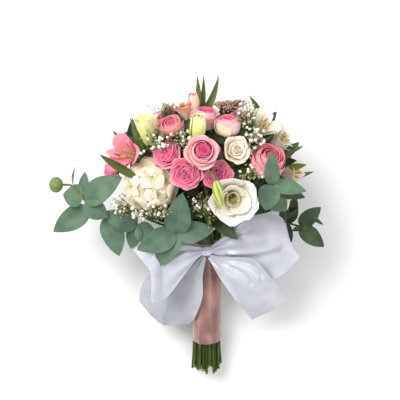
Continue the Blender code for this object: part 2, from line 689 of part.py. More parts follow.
def stem_runs(slots):
    """All the stems' runs, before they are eased apart."""
    runs = []
    for number, (stem, carried) in enumerate(THICK_STEMS.items()):
        places = lead_in(slots[stem], number)
        leaving = (slot_place(slots[stem], -60, 2.2) - places[-1]).normalized()
        if len(carried) == 1:
            runs.append(single_run(stem, carried[0], places, leaving))
        else:
            runs += forked_runs(stem, carried, places, leaving)
        if stem == "lisianthus_front_stem":
            via = [Vector(point) for point in NODDING_BUD]
            bends = course(places[-1], leaving, via[0], Vector((0, 0, 1)), 2)
            free = [False] + [True] * 2 + [False] * len(via)
            radii = [THIN_RADIUS] * 3 + [TWIG_RADIUS] * len(via)
            runs.append(Run(stem, [places[-1]] + bends + via, free, radii))
    for number, (stem, via) in enumerate(THIN_STEMS.items()):
        places = lead_in(slots[stem], number + 3)
        via = [Vector(point) for point in via]
        leaving = (slot_place(slots[stem], -60, 2.2) - places[-1]).normalized()
        bends = course(places[-1], leaving, via[0], (via[1] - via[0]).normalized(), 2)
        held = [False] if stem in CLUSTERS else [False] * len(via)
        free = [False] * 3 + [True] * (len(via) + 2 - len(held)) + held
        radii = [THIN_RADIUS] * 5 + [TWIG_RADIUS] * len(via)
        runs.append(Run(stem, places + bends + via, free, radii))
    return runs


def nearest(p1, d1, p2, d2):
    """Where pairs of segments come nearest, as shares of their lengths."""
    between = p1 - p2
    a = np.einsum("ij,ij->i", d1, d1)
    e = np.einsum("ij,ij->i", d2, d2)
    f = np.einsum("ij,ij->i", d2, between)
    b = np.einsum("ij,ij->i", d1, d2)
    c = np.einsum("ij,ij->i", d1, between)
    s = np.clip((b * f - c * e) / np.maximum(a * e - b * b, 1e-9), 0, 1)
    t = np.clip((b * s + f) / e, 0, 1)
    s = np.clip((b * t - c) / a, 0, 1)
    return s, t


def keep_out(nodes):
    """The balls that stems keep out of: their centres, radii and own stem nodes."""
    carrier = {name: stem for stem, carried in THICK_STEMS.items() for name in carried}
    centres, reach, kept = [], [], []
    for name, flower in FLOWERS.items():
        height, radius = FORMS[flower.form].clear
        base, facing = flower_base(name)
        centres.append(base + facing * height * flower.size)
        reach.append(radius * flower.size)
        kept.append(nodes.index(carrier[name]))
    for name, ball in BALLS.items():
        centres.append(Vector(ball.centre))
        reach.append(ball.core + 8.0)
        kept.append(nodes.index(carrier[name]))
    return np.array(centres, float), np.array(reach, float), np.array(kept)


def ease_apart(runs, rounds=500):
    """Moves the free points until no stem touches another node's stem or bloom."""
    points = np.array([p for run in runs for p in run.points], float)
    free = np.array([f for run in runs for f in run.free], float)
    radii = np.array([r for run in runs for r in run.radii], float)
    nodes = sorted({run.node for run in runs})
    starts = []
    owner = []
    total = 0
    for run in runs:
        starts += range(total, total + len(run.points) - 1)
        owner += [nodes.index(run.node)] * (len(run.points) - 1)
        total += len(run.points)
    starts, owner = np.array(starts), np.array(owner)
    i, j = np.triu_indices(len(starts), 1)
    apart = owner[i] != owner[j]
    i, j = i[apart], j[apart]
    centres, reach, kept = keep_out(nodes)
    k, m = np.meshgrid(np.arange(len(starts)), np.arange(len(centres)), indexing="ij")
    k, m = k.ravel(), m.ravel()
    other = owner[k] != kept[m]
    k, m = k[other], m[other]
    inner = np.flatnonzero(free)
    thick = np.maximum(radii[starts], radii[starts + 1])
    for turn in range(rounds):
        moves = np.zeros_like(points)
        first = points[starts]
        along = points[starts + 1] - first
        s, t = nearest(first[i], along[i], first[j], along[j])
        off = first[i] + along[i] * s[:, None] - first[j] - along[j] * t[:, None]
        distance = np.linalg.norm(off, axis=1) + 1e-9
        lack = np.maximum(thick[i] + thick[j] + GAP + 0.15 - distance, 0)
        push = off * (0.35 * lack / distance)[:, None]
        for ends, share in ((starts[i], 1 - s), (starts[i] + 1, s)):
            np.add.at(moves, ends, push * share[:, None])
        for ends, share in ((starts[j], 1 - t), (starts[j] + 1, t)):
            np.add.at(moves, ends, -push * share[:, None])
        share = np.einsum("ij,ij->i", centres[m] - first[k], along[k])
        share = np.clip(share / np.einsum("ij,ij->i", along[k], along[k]), 0, 1)
        off = first[k] + along[k] * share[:, None] - centres[m]
        distance = np.linalg.norm(off, axis=1) + 1e-9
        lack = np.maximum(reach[m] + thick[k] + GAP - distance, 0)
        push = off * (0.5 * lack / distance)[:, None]
        np.add.at(moves, starts[k], push * (1 - share)[:, None])
        np.add.at(moves, starts[k] + 1, push * share[:, None])
        if turn < rounds * 0.8:
            even = (points[inner - 1] + points[inner + 1]) / 2 - points[inner]
            moves[inner] += 0.06 * even
        points += moves * free[:, None]
    eased = []
    total = 0
    for run in runs:
        own = [Vector(p) for p in points[total : total + len(run.points)]]
        eased.append(run._replace(points=own))
        total += len(run.points)
    return eased


def sepals(name):
    """The five sepals under a bloom."""
    top, facing = stem_end(name)
    flower = FLOWERS[name]
    reach, notch = FORMS[flower.form].sepals * flower.size, 4.4 * flower.size
    return star(5, reach, notch, -3.0 * flower.size, 0.0, 4.0, placing(top, facing, 0.3))


# Leaves


def blade(leaf, fold=0.16, thickness=BLADE):
    """A pointed leaf that is folded a little along its midrib."""
    root, bend, tip = Vector(leaf.root), Vector(leaf.bend), Vector(leaf.tip)
    face = Vector(leaf.facing).normalized()

    def place(s, t):
        middle = root * (1 - t) ** 2 + bend * 2 * t * (1 - t) + tip * t * t
        ahead = ((bend - root) * (1 - t) + (tip - bend) * t).normalized()
        across = ahead.cross(face).normalized()
        half = leaf.width / 2 * leaf_outline(t)
        return middle + across * s * half + across.cross(ahead) * abs(s) * half * fold

    return object_from(shell(2, 3, place, thickness))


def leaf_outline(t):
    """A leaf's half width at t of its length, against half its full width."""
    return max(4 * t * (1 - t), 0) ** 0.6 * (1.12 - 0.24 * t)


def resting_leaf(root, tip, width):
    """A leaf that comes down from its twig and then lies flat on the surface."""
    root, tip = Vector(root), Vector(tip)
    across = (tip - root).cross(Vector((0, 0, 1))).normalized()

    def place(s, t):
        middle = root.lerp(tip, t)
        middle.z = root.z * max(1 - 3 * t, 0)
        return middle + across * s * width / 2 * leaf_outline(t)

    return object_from(shell(2, 3, place, -BLADE))


def tilted(leaf, lift, swing):
    """The leaf turned about its root, up or down and to one side, in degrees."""
    root = Vector(leaf.root)
    face = Vector(leaf.facing).normalized()
    along = (Vector(leaf.tip) - root).normalized()
    turn = Matrix.Rotation(math.radians(lift), 3, along.cross(face).normalized())
    turn = turn @ Matrix.Rotation(math.radians(swing), 3, face)
    return leaf._replace(
        bend=root + turn @ (Vector(leaf.bend) - root),
        tip=root + turn @ (Vector(leaf.tip) - root),
        facing=turn @ face,
    )


def settled_leaf(node, leaf):
    """The leaf, turned as little as it takes to keep clear of other nodes."""
    turns = [(a, b) for a in range(-40, 41, 8) for b in range(-32, 33, 8)]
    for lift, swing in sorted(turns, key=lambda pair: (abs(pair[0]) + abs(pair[1]), pair)):
        made = blade(tilted(leaf, lift, swing))
        if is_clear(node, made):
            return made
        bpy.data.objects.remove(made, do_unlink=True)
    return None


def rooted(leaf, runs):
    """The leaf with its root on the nearest point of its stem."""
    root = Vector(leaf.root)
    found = []
    for run in runs:
        for start, end in zip(run.points, run.points[1:]):
            share = intersect_point_line(root, start, end)[1]
            most = 1 - 1.5 / (end - start).length
            found.append(start.lerp(end, min(max(share, 0), most)))
    return leaf._replace(root=min(found, key=lambda point: (point - root).length))


def leafy(node, runs):
    """The leaves of a stem, each clear of the other nodes."""
    grown = [settled_leaf(node, rooted(leaf, runs)) for leaf in LEAVES[node]]
    if node in RESTING:
        grown.append(resting_leaf(*RESTING[node]))
    return [made for made in grown if made]


# Buds, pods and tiny florets


def bud(node):
    """A closed bud, as a rod that swells and narrows."""
    start, end, widths = Vector(NODDING_BUD[-1]), Vector(NODDING_BUD_TIP), NODDING_BUD_WIDTHS
    if node == "green_bud":
        start, end, widths = Vector(THIN_STEMS[node][-1]), Vector(GREEN_BUD_TIP), GREEN_BUD_WIDTHS
    return tube([start.lerp(end, share) for share in (0, 0.25, 0.6, 1)], widths)


def pod():
    """The round seed pod at the end of the left spray."""
    bm = bmesh.new()
    bmesh.ops.create_uvsphere(bm, u_segments=8, v_segments=5, radius=POD_RADIUS)
    bmesh.ops.translate(bm, vec=POD, verts=bm.verts[:])
    return object_from(bm)


def floret(start, end, radius):
    """A tiny flower on a fine branch, as one rod that swells at its end."""
    ahead = (end - start).normalized()
    points = [start, end - ahead * radius * 0.9, end, end + ahead * radius * 0.7]
    return tube(points, [BRANCH_RADIUS, BRANCH_RADIUS, radius, 0.4], 4)


def florets(node, tip):
    """Tiny florets on fine branches from the tip of a thin stem, each in the
    first place drawn that is clear of the other nodes."""
    bm = bmesh.new()
    bmesh.ops.create_icosphere(bm, subdivisions=1, radius=TWIG_RADIUS * 1.5)
    bmesh.ops.translate(bm, vec=tip, verts=bm.verts[:])
    grown = [object_from(bm)]
    size = FLORET_RADIUS.get(node, GYPSOPHILA_FLORET)
    for centre, spread, count in CLUSTERS[node]:
        wanted = len(grown) + count
        for _ in range(MOST_DRAWS):
            if len(grown) == wanted:
                break
            offset = Vector([random.uniform(-1, 1) * reach for reach in spread])
            flower = floret(tip, Vector(centre) + offset, size)
            if is_clear(node, flower):
                grown.append(flower)
            else:
                bpy.data.objects.remove(flower, do_unlink=True)
    return grown


# Wrap and bow


def sleeve(down, length, radius, wall=WRAP_WALL):
    """A tube round the handle, from down below the neck, with radius inside."""
    bm = bmesh.new()
    made = bmesh.ops.create_circle(bm, segments=SLEEVE_SIDES, radius=radius)
    edges = list({edge for vert in made["verts"] for edge in vert.link_edges})
    grown = bmesh.ops.extrude_edge_only(bm, edges=edges)["geom"]
    lower = [item for item in grown if isinstance(item, bmesh.types.BMVert)]
    bmesh.ops.translate(bm, vec=(0, 0, -length), verts=lower)
    bmesh.ops.triangulate(bm, faces=bm.faces[:])
    bmesh.ops.recalc_face_normals(bm, faces=bm.faces[:])
    bmesh.ops.solidify(bm, geom=bm.faces[:], thickness=-wall)
    frame = Matrix((SIDE, FRONT, AXIS)).transposed().to_4x4()
    bmesh.ops.transform(bm, matrix=Matrix.Translation(NECK - AXIS * down) @ frame, verts=bm.verts[:])
    return object_from(bm)


def wrap():
    """The satin that binds the stems."""
    return fuse("ribbon_wrap", [sleeve(0, WRAP_LENGTH, WRAP_RADIUS)], paint("rose_satin", SATIN_PINK))


def smooth(points, count):
    """Points on the Catmull-Rom curve through these."""
    points = [Vector(p) for p in points]
    padded = [points[0] * 2 - points[1]] + points + [points[-1] * 2 - points[-2]]
    found = []
    for step in range(count):
        place = step / (count - 1) * (len(points) - 1)
        cell = min(int(place), len(points) - 2)
        t = place - cell
        a, b, c, d = padded[cell : cell + 4]
        bend = (a * 2 - b * 5 + c * 4 - d) * t * t + (b * 3 - a - c * 3 + d) * t**3
        found.append((b * 2 + (c - a) * t + bend) / 2)
    return found


def ribbon(lines, along, across=2):
    """A satin ribbon whose lengthwise lines run through these points."""
    rows = [smooth(line, along + 1) for line in lines]

    def place(s, t):
        station = round(t * along)
        return smooth([row[station] for row in rows], across + 1)[round((s + 1) / 2 * across)]

    return object_from(shell(across, along, place, -BLADE))


KNOT = NECK - AXIS * 8.8 + FRONT * 25.5
KNOT_RADII = (7.5, 6.5, 6.2)
RIBBONS = {
    "left_loop": (
        (
            (4, -55, 87), (-20, -48, 98), (-50, -48, 100), (-76, -57, 90), (-60, -58, 74),
            (-26, -56, 76), (2, -57, 83),
        ),
        (
            (4, -58, 88), (-20, -66, 101), (-42, -78, 103), (-57, -87, 92), (-46, -82, 72),
            (-24, -70, 75), (2, -59, 83),
        ),
        (
            (4, -61, 86), (-14, -82, 93), (-36, -110, 94), (-48, -116, 84), (-38, -106, 72),
            (-18, -84, 76), (2, -61, 83),
        ),
    ),
    "right_loop": (
        (
            (10, -55, 86), (32, -36, 101), (62, -15, 107), (88, -17, 103), (99, -29, 94),
            (82, -40, 80), (44, -48, 78), (13, -57, 83),
        ),
        (
            (11, -58, 88), (34, -52, 102), (68, -48, 107), (96, -47, 103), (105, -50, 94),
            (86, -60, 78), (46, -60, 77), (13, -59, 83),
        ),
        (
            (11, -61, 86), (34, -72, 92), (66, -88, 88), (92, -89, 88), (115, -66, 92),
            (92, -84, 78), (46, -72, 76), (13, -61, 83),
        ),
    ),
    "left_tail": (
        ((2, -62, 83), (-30, -70, 71), (-60, -88, 56), (-71, -107, 46), (-72, -121, 40)),
        ((4, -65, 83), (-18, -88, 73), (-36, -112, 54), (-46, -134, 42), (-48, -147, 38)),
        ((7, -67, 84), (3, -90, 78), (3, -114, 69), (-5, -137, 58), (-13, -148, 46)),
    ),
    "right_tail": (
        ((12, -63, 86), (35, -66, 100), (62, -68, 106), (82, -90, 96), (105, -119, 56)),
        ((11, -66, 86), (31, -80, 99), (54, -94, 101), (70, -111, 84), (84, -132, 52)),
        ((9, -68, 84), (24, -93, 86), (41, -116, 78), (51, -129, 64), (62, -143, 48)),
    ),
}


def bow():
    """The white satin bow: its band round the wrap, the knot, loops and tails."""
    pieces = [sleeve(BAND[0], BAND[1] - BAND[0], WRAP_RADIUS + WRAP_WALL + GAP)]
    bm = bmesh.new()
    bmesh.ops.create_icosphere(bm, subdivisions=1, radius=1.0)
    bmesh.ops.scale(bm, vec=KNOT_RADII, verts=bm.verts[:])
    bmesh.ops.translate(bm, vec=KNOT, verts=bm.verts[:])
    pieces.append(object_from(bm))
    for name, lines in RIBBONS.items():
        along = 9 if "loop" in name else 5
        pieces.append(ribbon(lines, along))
    return fuse("bow", pieces, paint("white_satin", SATIN_WHITE))


def stem_colour(node):
    if node.startswith("eucalyptus"):
        return paint("eucalyptus_leaf", EUCALYPTUS_GREEN)
    if node.startswith("gypsophila"):
        return paint("gypsophila", WHITE)
    if node == "limonium":
        return paint("limonium", ROSY_MIST)
    if node == "green_bud":
        return paint("green_bud", LIME)
    return paint("green_stem", STEM_GREEN)


def main():
    clear_scene()
    random.seed(SEED)
    made = bpy.data.collections.new(COLLECTION)
    bpy.context.scene.collection.children.link(made)
    for name in FLOWERS:
        claim(name, bloom(name))
    for name in BALLS:
        claim(name, ball_of_florets(name))
    claim("ribbon_wrap", wrap())
    claim("bow", bow())
    pieces = {}

    def keep(node, grown):
        for piece in grown:
            claim(node, piece)
        pieces.setdefault(node, []).extend(grown)

    runs = ease_apart(stem_runs(choose_slots()))
    for run in runs:
        sides = STEM_SIDES if run.radii[0] > BRANCH_STEM else 4
        keep(run.node, [tube(run.points, run.radii, sides)])
    for stem, carried in THICK_STEMS.items():
        for name in carried:
            if has_sepals(name):
                keep(stem, [sepals(name)])
    keep("lisianthus_front_stem", [bud("lisianthus_front_stem")])
    keep("green_bud", [bud("green_bud")])
    keep("eucalyptus_left", [pod()])
    for node in LEAVES:
        keep(node, leafy(node, [run for run in runs if run.node == node]))
    for node in CLUSTERS:
        keep(node, florets(node, Vector(THIN_STEMS[node][-1])))
    for node, parts in pieces.items():
        fuse(node, parts, stem_colour(node))
    carry_all()


main()
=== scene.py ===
"""Looks of a hand-tied bridal bouquet that lies on its back.

Every size is in millimetres, in the bouquet's working frame: the handle runs along
-Y and the flowers face +Z. finished() turns each piece to metres and puts the middle
of the bouquet's outline at the origin, where the solids have it.
"""

import math
import random
from collections import namedtuple

import bmesh
import bpy
import numpy as np
from mathutils import Matrix, Vector
from mathutils.bvhtree import BVHTree
from mathutils.geometry import intersect_point_line


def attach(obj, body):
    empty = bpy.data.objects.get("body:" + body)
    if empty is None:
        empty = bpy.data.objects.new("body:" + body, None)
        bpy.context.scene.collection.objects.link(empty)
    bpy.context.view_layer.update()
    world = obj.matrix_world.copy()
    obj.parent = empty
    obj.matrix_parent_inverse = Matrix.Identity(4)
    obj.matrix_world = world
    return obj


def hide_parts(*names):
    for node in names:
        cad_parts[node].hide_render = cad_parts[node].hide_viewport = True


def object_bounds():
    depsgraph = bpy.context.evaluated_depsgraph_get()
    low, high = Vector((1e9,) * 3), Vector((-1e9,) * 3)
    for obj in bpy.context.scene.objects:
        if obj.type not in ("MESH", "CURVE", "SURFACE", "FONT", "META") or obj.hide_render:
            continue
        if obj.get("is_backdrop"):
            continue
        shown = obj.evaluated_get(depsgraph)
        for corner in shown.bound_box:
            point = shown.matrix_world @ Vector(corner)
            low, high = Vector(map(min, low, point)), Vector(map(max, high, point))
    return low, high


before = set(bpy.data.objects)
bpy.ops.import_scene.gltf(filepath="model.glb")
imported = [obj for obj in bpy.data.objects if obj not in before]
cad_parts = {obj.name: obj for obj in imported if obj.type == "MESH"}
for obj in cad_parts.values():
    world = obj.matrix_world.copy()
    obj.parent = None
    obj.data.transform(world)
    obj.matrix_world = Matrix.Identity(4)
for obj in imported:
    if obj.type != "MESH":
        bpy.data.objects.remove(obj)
CAD_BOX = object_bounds()
BODY = "root"
METRES = 0.001

# Driving dimensions, as in the solids' source: the middle of the bouquet's outline,
# the neck where the stems cross, the end of the handle, the gap between neighbours,
# how high leaves stay off the surface, and how thick the solids' blades are
MIDDLE = Vector((-14.7, -32.5, 0.0))
NECK = Vector((7.0, -43.5, 64.6))
HANDLE_END = Vector((8.0, -200.0, 18.35))
GAP = 0.35
CLEARANCE = 1.0
BLADE = 0.8
# The handle: one stem in the middle, a ring of six, a ring of twelve, and twelve
# thin stems in the hollows outside them.
STEM_RADIUS = 2.8
THIN_RADIUS = 1.4
INNER_RING = 6.0
OUTER_RING = 11.9
THIN_RING = 14.8
FLARE = 1.16
END_STAGGER = 5.0
BEYOND_WRAP = 4.0
ABOVE_NECK = 3.0
BLOOM_STEM = 2.0
BRANCH_STEM = 1.7
TWIG_RADIUS = 1.3
WRAP_LENGTH = 129.0
WRAP_RADIUS = 17.2
WRAP_WALL = 1.0
BAND = (3.5, 14.0)
AXIS = (NECK - HANDLE_END).normalized()
FRONT = Vector((1.0, 0.0, 0.0)).cross(AXIS).normalized()
SIDE = AXIS.cross(FRONT).normalized()

# What the petals, leaves and ribbons really measure in thickness
PETAL = 0.45
LEAF_THICKNESS = 0.5
RIBBON_THICKNESS = 0.5

# The share of its whorl's tone that the inner side of a petal keeps, which makes it
# deeper, and how small an angle between faces, in degrees, is shaded smooth
DEEPER_INSIDE = 0.3
SMOOTH_UP_TO = 50

# One whorl of petals: how many, half the angle that each spans, the curve from its
# root to its rim as four (radius, height) points, how far one edge stands inside
# the other, how round its tip is, the whorl's turn, how far its rim curls back, how
# deep its rim waves, its tone from 0 at the heart to 1 outside, and how deeply the
# whorl is drawn in between five lobes.
Whorl = namedtuple("Whorl", "count half curve overlap rounding turn curl wave tone lobed")


def heart(rims, foot, top, lobed, deepest):
    """The small crowded whorls in the middle of a rose, out to these rim radii."""
    found = []
    for number, rim in enumerate(rims):
        shape = (
            (0.6 + rim * 0.2, foot), (rim * 1.2, foot + 1), (rim * 1.25, top * 0.7), (rim, top)
        )
        found.append(Whorl(
            2 + min(number, 3), 96 - 8 * number, shape, 0.6, 0.06, 47 * number, 0.2, 0.35,
            deepest * number / len(rims), lobed * rim / rims[-1],
        ))
    return tuple(found)


ROSE = heart((0.8, 2.2, 3.7, 5.3, 7.0, 8.8), 7, 29.6, 0.08, 0.4) + (
    Whorl(2, 118, ((2.5, 4), (14.6, 6), (15.6, 21), (11.4, 31.2)), 1.2, 0.10, 215, 0.7, 0.5, 0.9, 0),
    Whorl(3, 74, ((2.6, 3), (15.4, 4), (12.6, 18), (18.6, 25.6)), 1.4, 0.16, 80, 1.6, 0.7, 1.0, 0),
    Whorl(4, 60, ((3, 2.4), (17.0, 4), (13.8, 14), (21.4, 20.6)), 1.6, 0.22, 35, 2.0, 0.9, 1.0, 0),
)
ROSE_CUP = heart((0.8, 2.0, 3.4, 4.8), 7, 30.2, 0.08, 0.3) + (
    Whorl(3, 84, ((2.5, 5), (11, 8), (12, 24), (6.8, 32)), 0.9, 0.06, 20, 0.2, 0.3, 0.6, 0),
    Whorl(3, 86, ((2.5, 4), (15.4, 6), (17, 22), (9.4, 32.6)), 1.2, 0.10, 72, 0.4, 0.4, 0.8, 0),
    Whorl(3, 88, ((2.6, 3), (18.6, 4.6), (19.4, 20), (12.4, 31.6)), 1.4, 0.14, 8, 0.8, 0.6, 0.9, 0),
    Whorl(4, 62, ((3, 2.4), (20, 4), (19.8, 18), (17.2, 28.4)), 1.6, 0.20, 40, 1.6, 0.8, 1.0, 0),
)
SPRAY_ROSE = heart((1.2, 2.6, 4.2, 6.0, 8.0), 5, 19.8, 0.10, 0.5) + (
    Whorl(5, 62, ((2.5, 4), (9.6, 5), (9.4, 13), (10.2, 20.6)), 0.9, 0.12, 12, 0.6, 1.0, 0.6, 0.06),
    Whorl(5, 58, ((2.5, 4), (11.6, 5), (11, 13), (12.6, 20.0)), 1.0, 0.14, 44, 0.9, 1.2, 0.7, 0),
    Whorl(5, 56, ((2.6, 3), (13.4, 4), (12.4, 13), (15.0, 18.6)), 1.1, 0.16, 70, 1.4, 1.3, 0.85, 0),
    Whorl(5, 52, ((3, 2.4), (15, 3), (14, 11), (17.4, 15.8)), 1.2, 0.18, 28, 2.0, 1.2, 1.0, 0),
)
FURLED_BUD = (
    Whorl(2, 120, ((1.2, 2), (6.6, 8), (7.6, 26), (2.4, 38)), 0.8, 0.08, 0, 0.2, 0.2, 0.1, 0),
    Whorl(3, 96, ((1.2, 1), (8.6, 8), (10.6, 26), (5.4, 37.5)), 1.4, 0.12, 60, 0.6, 0.3, 1.0, 0),
)
LISIANTHUS = (
    Whorl(2, 104, ((2.5, 6), (6, 8), (6.6, 13), (7.6, 18.0)), 1.0, 0.10, 30, 0.8, 0.7, 0.4, 0),
    Whorl(3, 84, ((2.5, 5), (10, 6), (11, 17), (17.4, 26.0)), 1.5, 0.14, 70, 1.4, 1.2, 0.8, 0),
    Whorl(5, 56, ((3, 2.4), (18, 4), (19.0, 19), (27.4, 25.4)), 1.6, 0.16, 15, 2.0, 1.5, 1.0, 0),
)
ROSETTE = heart((1.4, 3.6, 6.2, 9.4), 6, 25, 0.04, 0.8) + LISIANTHUS[1:]
LISIANTHUS_HALF_OPEN = (
    Whorl(2, 100, ((2.0, 5), (5, 12), (5, 28), (4.5, 36)), 1.0, 0.12, 0, 0.4, 0.4, 0.1, 0),
    Whorl(3, 78, ((2.5, 5), (8, 12), (8.4, 28), (8.5, 38.5)), 1.2, 0.12, 30, 0.9, 0.6, 0.5, 0),
    Whorl(4, 66, ((3, 2.4), (10.4, 8), (11.5, 28), (14.2, 40)), 1.4, 0.16, 10, 1.4, 0.8, 1.0, 0),
)
ALSTROEMERIA = (
    Whorl(3, 30, ((1.8, 3), (4.4, 12), (8.6, 26), (14.6, 35.5)), 0.0, 0.30, 30, 1.2, 0.6, 0.0, 0),
    Whorl(3, 50, ((2.6, 2.4), (6, 12), (12.8, 24), (19.6, 32)), 0.0, 0.26, 90, 2.2, 0.9, 1.0, 0),
)

# A bloom's form: its whorls, the height of its face, the ball that stems keep clear
# of, as (height, radius), and its sepals' reach.
Form = namedtuple("Form", "rings height clear sepals")
FORMS = {
    "rose": Form(ROSE, 32.0, (20, 20.5), 11.0),
    "rose_cup": Form(ROSE_CUP, 33.0, (19, 19.5), 11.0),
    "spray": Form(SPRAY_ROSE, 21.0, (13, 15.0), 8.0),
    "lisianthus": Form(LISIANTHUS, 30.0, (24, 23.0), 8.0),
    "half_open": Form(LISIANTHUS_HALF_OPEN, 41.0, (24, 14.0), 7.0),
    "alstroemeria": Form(ALSTROEMERIA, 33.0, (23, 13.0), 0.0),
}

# What a flower's colour may be, each a row of BLOOM_LOOKS
PINK = "blush"
MAGENTA = "deep"
CREAM = "cream"
WHITE = "white"
LIME = "lime"

# One flower: its form, colour, where the middle of its face is, the way that it
# faces, and its size against the form's.
Flower = namedtuple("Flower", "form colour face facing size")
FLOWERS = {
    "rose_front": Flower("rose", PINK, (3.5, 55, 186), (0.10, 0.20, 0.97), 0.88),
    "rose_crown": Flower("rose", PINK, (6, 103, 133), (0.05, 0.92, 0.39), 0.84),
    "rose_upper_right": Flower("rose_cup", PINK, (30, 92, 152), (-0.06, 0.88, 0.42), 0.72),
    "rose_right": Flower("rose_cup", PINK, (79, 51, 162), (0.26, 0.56, 0.78), 1.02),
    "rose_upper_left": Flower("rose_cup", PINK, (-35, 88, 141), (-0.24, 0.62, 0.74), 0.76),
    "rose_back_left": Flower("rose", PINK, (-52, 64, 12), (-0.30, 0.22, -0.92), 0.94),
    "rose_back_right": Flower("rose", PINK, (60, 62, 12), (0.30, 0.22, -0.92), 0.94),
    "lisianthus_front": Flower("lisianthus", WHITE, (38, -3, 171), (0.12, -0.28, 0.95), 0.98),
    "lisianthus_cream": Flower("lisianthus", CREAM, (42, 56, 160), (0.30, 0.14, 0.94), 0.56),
    "lisianthus_green": Flower("half_open", LIME, (-62, 96, 131), (-0.14, 0.92, 0.37), 0.95),
    "lisianthus_back": Flower("lisianthus", WHITE, (4, 24, 7), (0.0, -0.08, -1.0), 0.90),
    "spray_rose_middle": Flower("spray", MAGENTA, (-16, 29, 160), (-0.10, -0.14, 0.98), 1.0),
    "spray_rose_left": Flower("spray", MAGENTA, (-40, 53, 149), (-0.44, 0.20, 0.88), 0.92),
    "spray_rose_right": Flower("spray", MAGENTA, (20, 28, 158), (0.06, 0.02, 1.0), 0.90),
    "spray_rose_bud": Flower("spray", MAGENTA, (-107, 32, 105), (-0.86, -0.05, 0.50), 0.62),
    "spray_rose_top_left": Flower("spray", PINK, (-44, 104, 88), (-0.32, 0.94, -0.05), 0.95),
    "spray_rose_side_left": Flower("spray", PINK, (-98, 56, 60), (-0.88, 0.20, -0.42), 1.0),
    "spray_rose_top_right": Flower("spray", PINK, (52, 103, 88), (0.32, 0.94, -0.05), 0.95),
    "spray_rose_side_right": Flower("spray", MAGENTA, (104, 46, 58), (0.88, 0.14, -0.42), 1.0),
    "alstroemeria_pink": Flower("alstroemeria", PINK, (-89, 53, 141), (-0.50, 0.10, 0.86), 1.12),
    "alstroemeria_top": Flower("alstroemeria", PINK, (-19, 109, 118), (-0.24, 0.94, 0.20), 0.68),
    "alstroemeria_white": Flower("alstroemeria", WHITE, (74, 88, 136), (0.36, 0.52, 0.78), 0.92),
    "alstroemeria_white_edge": Flower("alstroemeria", WHITE, (99, 72, 114), (0.76, 0.46, 0.46), 0.86),
    "alstroemeria_white_low": Flower("alstroemeria", WHITE, (114, 30, 108), (0.92, -0.06, 0.38), 0.86),
}

# One ball of hydrangea: its centre, the way that it faces, its core's radius and how
# far each floret reaches. Its florets stand out to so many degrees from its facing.
Ball = namedtuple("Ball", "centre facing core reach")
BALLS = {
    "hydrangea_left": Ball((-56, 16.5, 120.5), (-0.22, 0.0, 0.97), 26.2, 14.7),
    "hydrangea_back": Ball((4, 86, 46), (0.0, 0.70, -0.70), 22.5, 13.5),
}
BALL_FLORETS = 21
BALL_SPREAD = 122

# What each thick stem carries, from one cut end. Every large rose and every lisianthus
# has a stem of its own.
THICK_STEMS = {
    name + "_stem": (name,) for name in FLOWERS if name.startswith(("rose", "lisianthus"))
}
THICK_STEMS |= {
    "spray_rose_front_stem": ("spray_rose_middle", "spray_rose_left", "spray_rose_right"),
    "spray_rose_left_stem": ("spray_rose_bud", "spray_rose_side_left", "spray_rose_top_left"),
    "spray_rose_right_stem": ("spray_rose_top_right", "spray_rose_side_right"),
    "alstroemeria_left_stem": ("alstroemeria_pink",),
    "alstroemeria_top_stem": ("alstroemeria_top",),
    "alstroemeria_right_stem": (
        "alstroemeria_white", "alstroemeria_white_edge", "alstroemeria_white_low",
    ),
    "hydrangea_left_stem": ("hydrangea_left",),
    "hydrangea_back_stem": ("hydrangea_back",),
}

# The thin stems, each with the points that it goes through beyond the neck.
THIN_STEMS = {
    "eucalyptus_left": (
        (-40, -40, 86), (-72, -28.6, 94), (-105, -17, 96), (-128, -9, 97), (-132, -1, 98),
        (-146.4, 17.6, 97), (-158, 17.6, 96),
    ),
    "eucalyptus_front": ((-10, -44, 98), (-28.4, -37.5, 116)),
    "eucalyptus_right": ((52, -14, 112), (76, 6, 140), (80, 18, 158)),
    "eucalyptus_low_right": ((60, -26, 58), (100, -26, 68), (117, -31, 85)),
    "eucalyptus_back_left": ((-34, -4, 20), (-44, 24, 5), (-56, 50, 4), (-64, 65, 5)),
    "eucalyptus_back_right": ((46, -4, 20), (54, 22, 5), (66, 48, 4), (73, 63, 5)),
    "gypsophila_left": ((-32, 38, 104), (-47, 66, 124)),
    "gypsophila_low": ((-44, -18, 104), (-60, -22, 112)),
    "gypsophila_middle": ((2, -22, 108), (2, -10, 124)),
    "gypsophila_right": ((44, 30, 112), (58, 63, 132)),
    "limonium": ((22, 60, 104), (30, 92, 112)),
    "green_bud": ((0, 40, 116), (-4, 62, 142)),
}

# The nodding bud's stalk and tip, the upright bud's tip, and the eucalyptus seed pod
NODDING_BUD = ((4, 34, 150), (5, 33, 168), (10, 32, 180), (17.4, 22, 182))
NODDING_BUD_TIP = (23, -11, 180)
GREEN_BUD_TIP = (-1, 94, 163)
POD = (-166, 17.6, 96)
POD_RADIUS = 8.5

# One leaf: its root, the point that it bends towards, its tip, its width and the
# way that its upper side faces.
Leaf = namedtuple("Leaf", "root bend tip width facing")


def straight(root, tip, width, facing=(0, 0, 1), lift=3.0):
    """A leaf with a slight arch."""
    root, tip = Vector(root), Vector(tip)
    middle = (root + tip) / 2 + Vector(facing).normalized() * lift
    return Leaf(root, middle, tip, width, facing)


